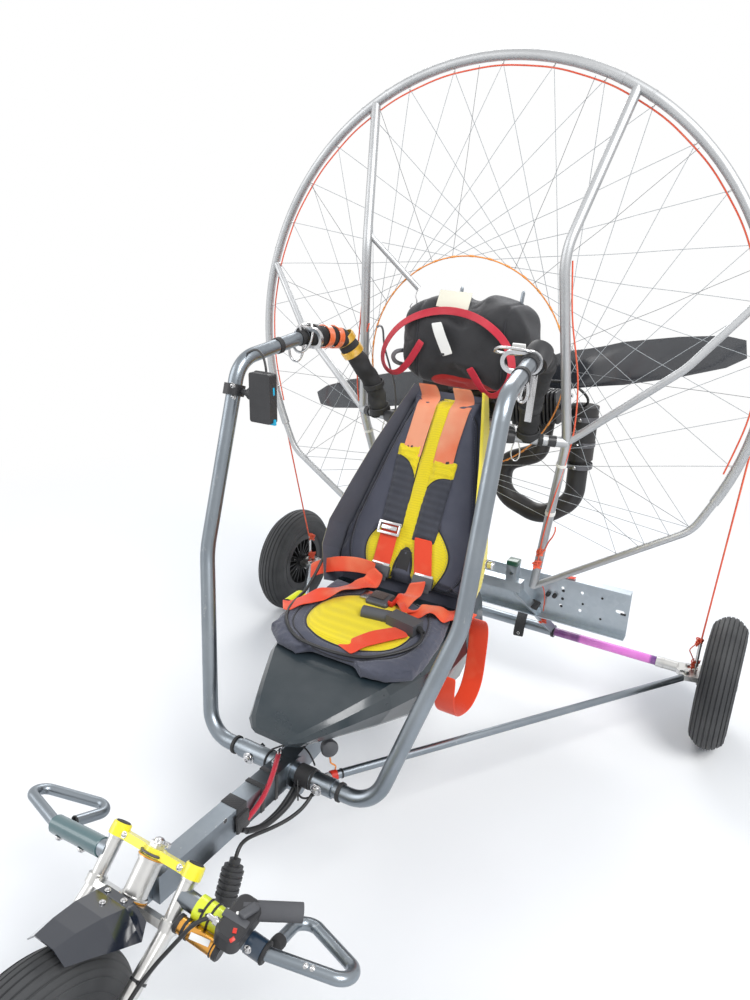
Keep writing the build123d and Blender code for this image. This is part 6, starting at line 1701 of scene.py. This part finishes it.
finished("hub_bolts", group, (bright_steel, machined), "propeller")
cable("strut_hook", [(-0.15, 0.606, 1.276), (-0.156, 0.6, 1.262), (-0.148, 0.602, 1.246),
    (-0.154, 0.604, 1.23), (-0.164, 0.6, 1.222), (-0.17, 0.598, 1.232), (-0.162, 0.6, 1.24)], 0.0016,
    bright_steel)
cable("wire_hanger", [(-0.25, 0.56, 1.17), (-0.244, 0.566, 1.178), (-0.236, 0.572, 1.166),
    (-0.238, 0.58, 1.12), (-0.222, 0.592, 1.06), (-0.206, 0.604, 0.99), (-0.2, 0.596, 0.936)], 0.0028,
    dark_steel)
print("drive and mounts fitted")

# %% [markdown]
# ## Rear frame and cords
# Green caps close the square uprights, and black ties and a strap wrap the struts. Red cord
# runs down each spoke, with rough knots where it is tied off. The knots are short wandering
# lines worked out from sines, so they look hand-tied.

# %% Rear fittings
group = bmesh.new()
STRUT_RUN = Vector((0.057, 0.172, -0.208)).normalized()
for side in (-1, 1):
    add_block(group, (0.035, 0.035, 0.016), (0.172 * side, 0.69, 0.5045), (0, 0, 1), 0, edge=0.2,
        steps=3)
    place = mirrored(Vector((0.205, 0.69, 0.432)).lerp(Vector((0.262, 0.862, 0.224)), 0.42), side)
    add_block(group, (0.029, 0.029, 0.008), place, mirrored(STRUT_RUN, side), 1, edge=0.2)
    add_ring(group, (0.27 * side, 0.868, 0.212), (1, 0, 0), 0.0168, 0.0032, 0.01, 1, 40)
    add_ring(group, (0.612 * side, 0.868, 0.212), (1, 0, 0), 0.0136, 0.003, 0.008, 3, 36)
    add_hex(group, (0.681 * side, 0.88, 0.22), (0, 0, 1), 0.013, 0.006, 2)
    add_hex(group, (0.684 * side, 0.838, 0.2205), (0, 0, 1), 0.015, 0.007, 2)
    add_ring(group, (0.703 * side, 0.868, 0.312), (1, 0.2, 0), 0.005, 0.0024, 0.0026, 2, 20)
    spoke_at = mirrored(Vector((0.311, 0.597, 0.92)).lerp(Vector((0.231, 0.713, 0.431)), 0.45), side)
    spoke_run = mirrored((-0.157, 0.228, -0.961), side)
    add_ring(group, spoke_at, spoke_run, 0.0127, 0.0016, 0.012, 4, 30)
    add_ring(group, spoke_at - spoke_run * 0.16, spoke_run, 0.0127, 0.0016, 0.008, 4, 30)
    for x, z, size in ((0.303, 0.399, 0.0052), (0.303, 0.372, 0.0052), (0.302, 0.346, 0.0046),
            (0.366, 0.372, 0.0042), (0.421, 0.407, 0.0042), (0.424, 0.338, 0.0042)):
        add_turned(group, [(-0.0006, size), (0.001, size * 0.8), (0.0014, 0)], (x * side, 0.797, z),
            (0, -1, 0), 1, 18)
    add_block(group, (0.016, 0.007, 0.0016), (0.487 * side, 0.7968, 0.373), (0, -1, 0), 1, edge=0.4)
    for x in (0.279, 0.258):
        add_turned(group, [(0, 0.007), (0.01, 0.007), (0.012, 0.005), (0.012, 0)],
            (x * side, 0.797, 0.377), (0, -1, 0), 1, 18)
    add_hex(group, (0.215 * side, 0.7665, 0.438), (0, 0, 1), 0.013, 0.007, 2)
shell_side = landed(surface_tree(parts["seat_shell"]), Vector((0.4, 0.352, 0.64)),
    Vector((-1, 0, 0)))[0]
add_turned(group, [(-0.012, 0.0045), (0.004, 0.0045), (0.005, 0.01), (0.016, 0.0112), (0.02, 0.0085),
    (0.021, 0)], shell_side, (1, 0.05, 0.05), 2, 22)
add_ring(group, shell_side + Vector((0.0012, 0, 0)), (1, 0, 0), 0.0045, 0.0085, 0.0026, 3, 24)
add_ring(group, (0.16, 0.8475, 0.18), (0, -1, 0.05), 0.0035, 0.002, 0.0034, 3, 20)
finished("rear_fittings", group, (green_cap, rubber, bright_steel, machined, white_card))
strap("sleeve_strap", [((0.186, 0.8, 0.306), (1, 0, 0.2)), ((0.176, 0.822, 0.272), (1, 0, 0.2)),
    ((0.168, 0.842, 0.244), (1, 0, 0.2)), ((0.162, 0.849, 0.216), (1, 0, 0.15)),
    ((0.16, 0.848, 0.188), (1, 0, 0.1)), ((0.16, 0.846, 0.168), (1, 0, 0.1))], 0.034, black_cloth,
    0.0026)
strap("channel_strap", [((0.296, 0.772, 0.4585), (0, 1, 0)), ((0.318, 0.776, 0.459), (0, 1, 0)),
    ((0.34, 0.782, 0.458), (0.1, 1, 0))], 0.016, webbing)
print("rear frame fitted")


# %% Cords and knots
def knot(at, size, seed, strands=4, steps=14):
    """Wandering lines round a point: a rough knot with loose ends."""
    lines = []
    for strand in range(strands):
        phase = seed * 1.7 + strand * 2.1
        points = []
        for step in range(steps):
            turn = 2 * pi * step / 5.3 + phase
            grow = 0.55 + 0.45 * sin(step * 1.3 + phase)
            drop = (step / steps - 0.4) * 1.5 if strand % 2 else sin(turn * 0.7) * 0.8
            points.append(Vector(at) + Vector((cos(turn) * grow, sin(turn * 1.1) * grow * 0.8, drop))
                * size)
        lines.append(points)
    return lines


KNOTS = ((0.697, 0.866, 0.312, 0.016), (0.697, 0.864, 0.236, 0.018), (0.252, 0.664, 0.566, 0.015),
    (0.246, 0.668, 0.524, 0.017), (0.246, 0.806, 0.276, 0.016))
for side, word in ((-1, "right"), (1, "left")):
    lines = []
    for seed, (x, y, z, size) in enumerate(KNOTS):
        if side == 1 or x > 0.6:
            lines += knot((x * side, y, z), size, seed)
    many_lines(f"knots_{word}", lines, 0.0019, red_cord)
CORDS = {"spoke_cord_left": ((0.286, 0.548, 1.372), (0.292, 0.552, 1.3), (0.3, 0.556, 1.23),
    (0.316, 0.568, 1.15), (0.326, 0.58, 1.085), (0.329, 0.59, 1.0), (0.326, 0.594, 0.925),
    (0.304, 0.612, 0.827), (0.276, 0.632, 0.7), (0.262, 0.646, 0.62), (0.254, 0.66, 0.56),
    (0.248, 0.668, 0.52)), "foot_cord_left": ((0.242, 0.7, 0.452), (0.252, 0.742, 0.43),
    (0.252, 0.778, 0.38), (0.249, 0.796, 0.33), (0.246, 0.804, 0.28)),
    "spoke_cord_right": ((-0.284, 0.552, 1.36), (-0.3, 0.56, 1.24), (-0.318, 0.572, 1.12),
    (-0.328, 0.584, 1.04), (-0.329, 0.596, 0.94), (-0.312, 0.61, 0.85), (-0.286, 0.632, 0.74),
    (-0.262, 0.662, 0.6), (-0.246, 0.69, 0.5)), "spoke_tail_left": ((0.256, 0.654, 0.56),
    (0.272, 0.65, 0.584), (0.28, 0.646, 0.612), (0.292, 0.642, 0.632), (0.299, 0.64, 0.656),
    (0.296, 0.64, 0.664)), "hub_tail_left": ((0.698, 0.856, 0.318), (0.686, 0.846, 0.306),
    (0.678, 0.848, 0.29), (0.686, 0.856, 0.274), (0.696, 0.862, 0.25)),
    "spoke_lanyard": ((-0.268, 0.548, 1.18), (-0.286, 0.56, 1.15), (-0.292, 0.566, 1.11),
    (-0.304, 0.578, 1.06))}
for name, points in CORDS.items():
    cable(name, points, 0.0021 if "spoke" in name else 0.0017, red_cord, round_by=2)
print("cords tied")

# %% [markdown]
# ## Free leads
# Two leads hang free. The hand throttle's lead runs round the front of the seat cushion and
# goes back into the trike at the pilot's right hip. The other hangs beside the beam and ends
# in a ribbed plug. Their routes repeat those of the part's source, in metres, and the seat
# lead's height is read off the finished cushion.

# %% Free leads
LEAD_DIAMETER = 0.008
SEAT_LEAD_ROUTE = ((0.146, 0.114), (0.172, 0.098), (0.168, 0.06), (0.136, 0.01), (0.086, -0.026),
    (0.024, -0.042), (-0.044, -0.044), (-0.104, -0.036), (-0.154, -0.004), (-0.186, 0.046),
    (-0.198, 0.104), (-0.201, 0.16))
SEAT_LEAD_END = (-0.206, 0.232, 0.596)
BEAM_LEAD_ROUTE = ((0.084, -0.222, 0.3), (0.084, -0.252, 0.284), (0.074, -0.292, 0.276),
    (0.06, -0.334, 0.278), (0.05, -0.372, 0.288), (0.047, -0.404, 0.3), (0.05, -0.43, 0.302),
    (0.052, -0.441, 0.286))


def lead_height(x, y):
    """Where the lead lies: on the cushion, or level with its top beyond the edge."""
    found = on_seat(x, y)
    top = 0.521 + 0.0925 * y
    return (found.z if found else top) + LEAD_DIAMETER * 0.55


seat_points = [Vector((x, y, max(lead_height(x, y), 0.525 + 0.0925 * y))) for x, y in SEAT_LEAD_ROUTE]
seat_points[0].z, seat_points[1].z = 0.5502, 0.548
seat_points.append(Vector(SEAT_LEAD_END))
seat_lead = cable("hand_throttle_lead", seat_points, LEAD_DIAMETER / 2, cable_black)
beam_lead = cable("plug_lead_front", BEAM_LEAD_ROUTE, LEAD_DIAMETER / 2, cable_black)
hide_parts("seat_lead")
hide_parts("beam_lead")
group = bmesh.new()
boot_run = (seat_points[1] - seat_points[0]).normalized()
for step, radius in enumerate((0.0085, 0.008, 0.0073, 0.0066, 0.006)):
    add_ring(group, seat_points[0] + boot_run * (0.002 + 0.0044 * step), boot_run, 0.004,
        radius - 0.004, 0.0032, 0, 20)
boot = finished("lead_boot", group, rubber)
print("seat lead", round(seat_lead.data.splines[0].calc_length(), 4), "beam lead",
    round(beam_lead.data.splines[0].calc_length(), 4))
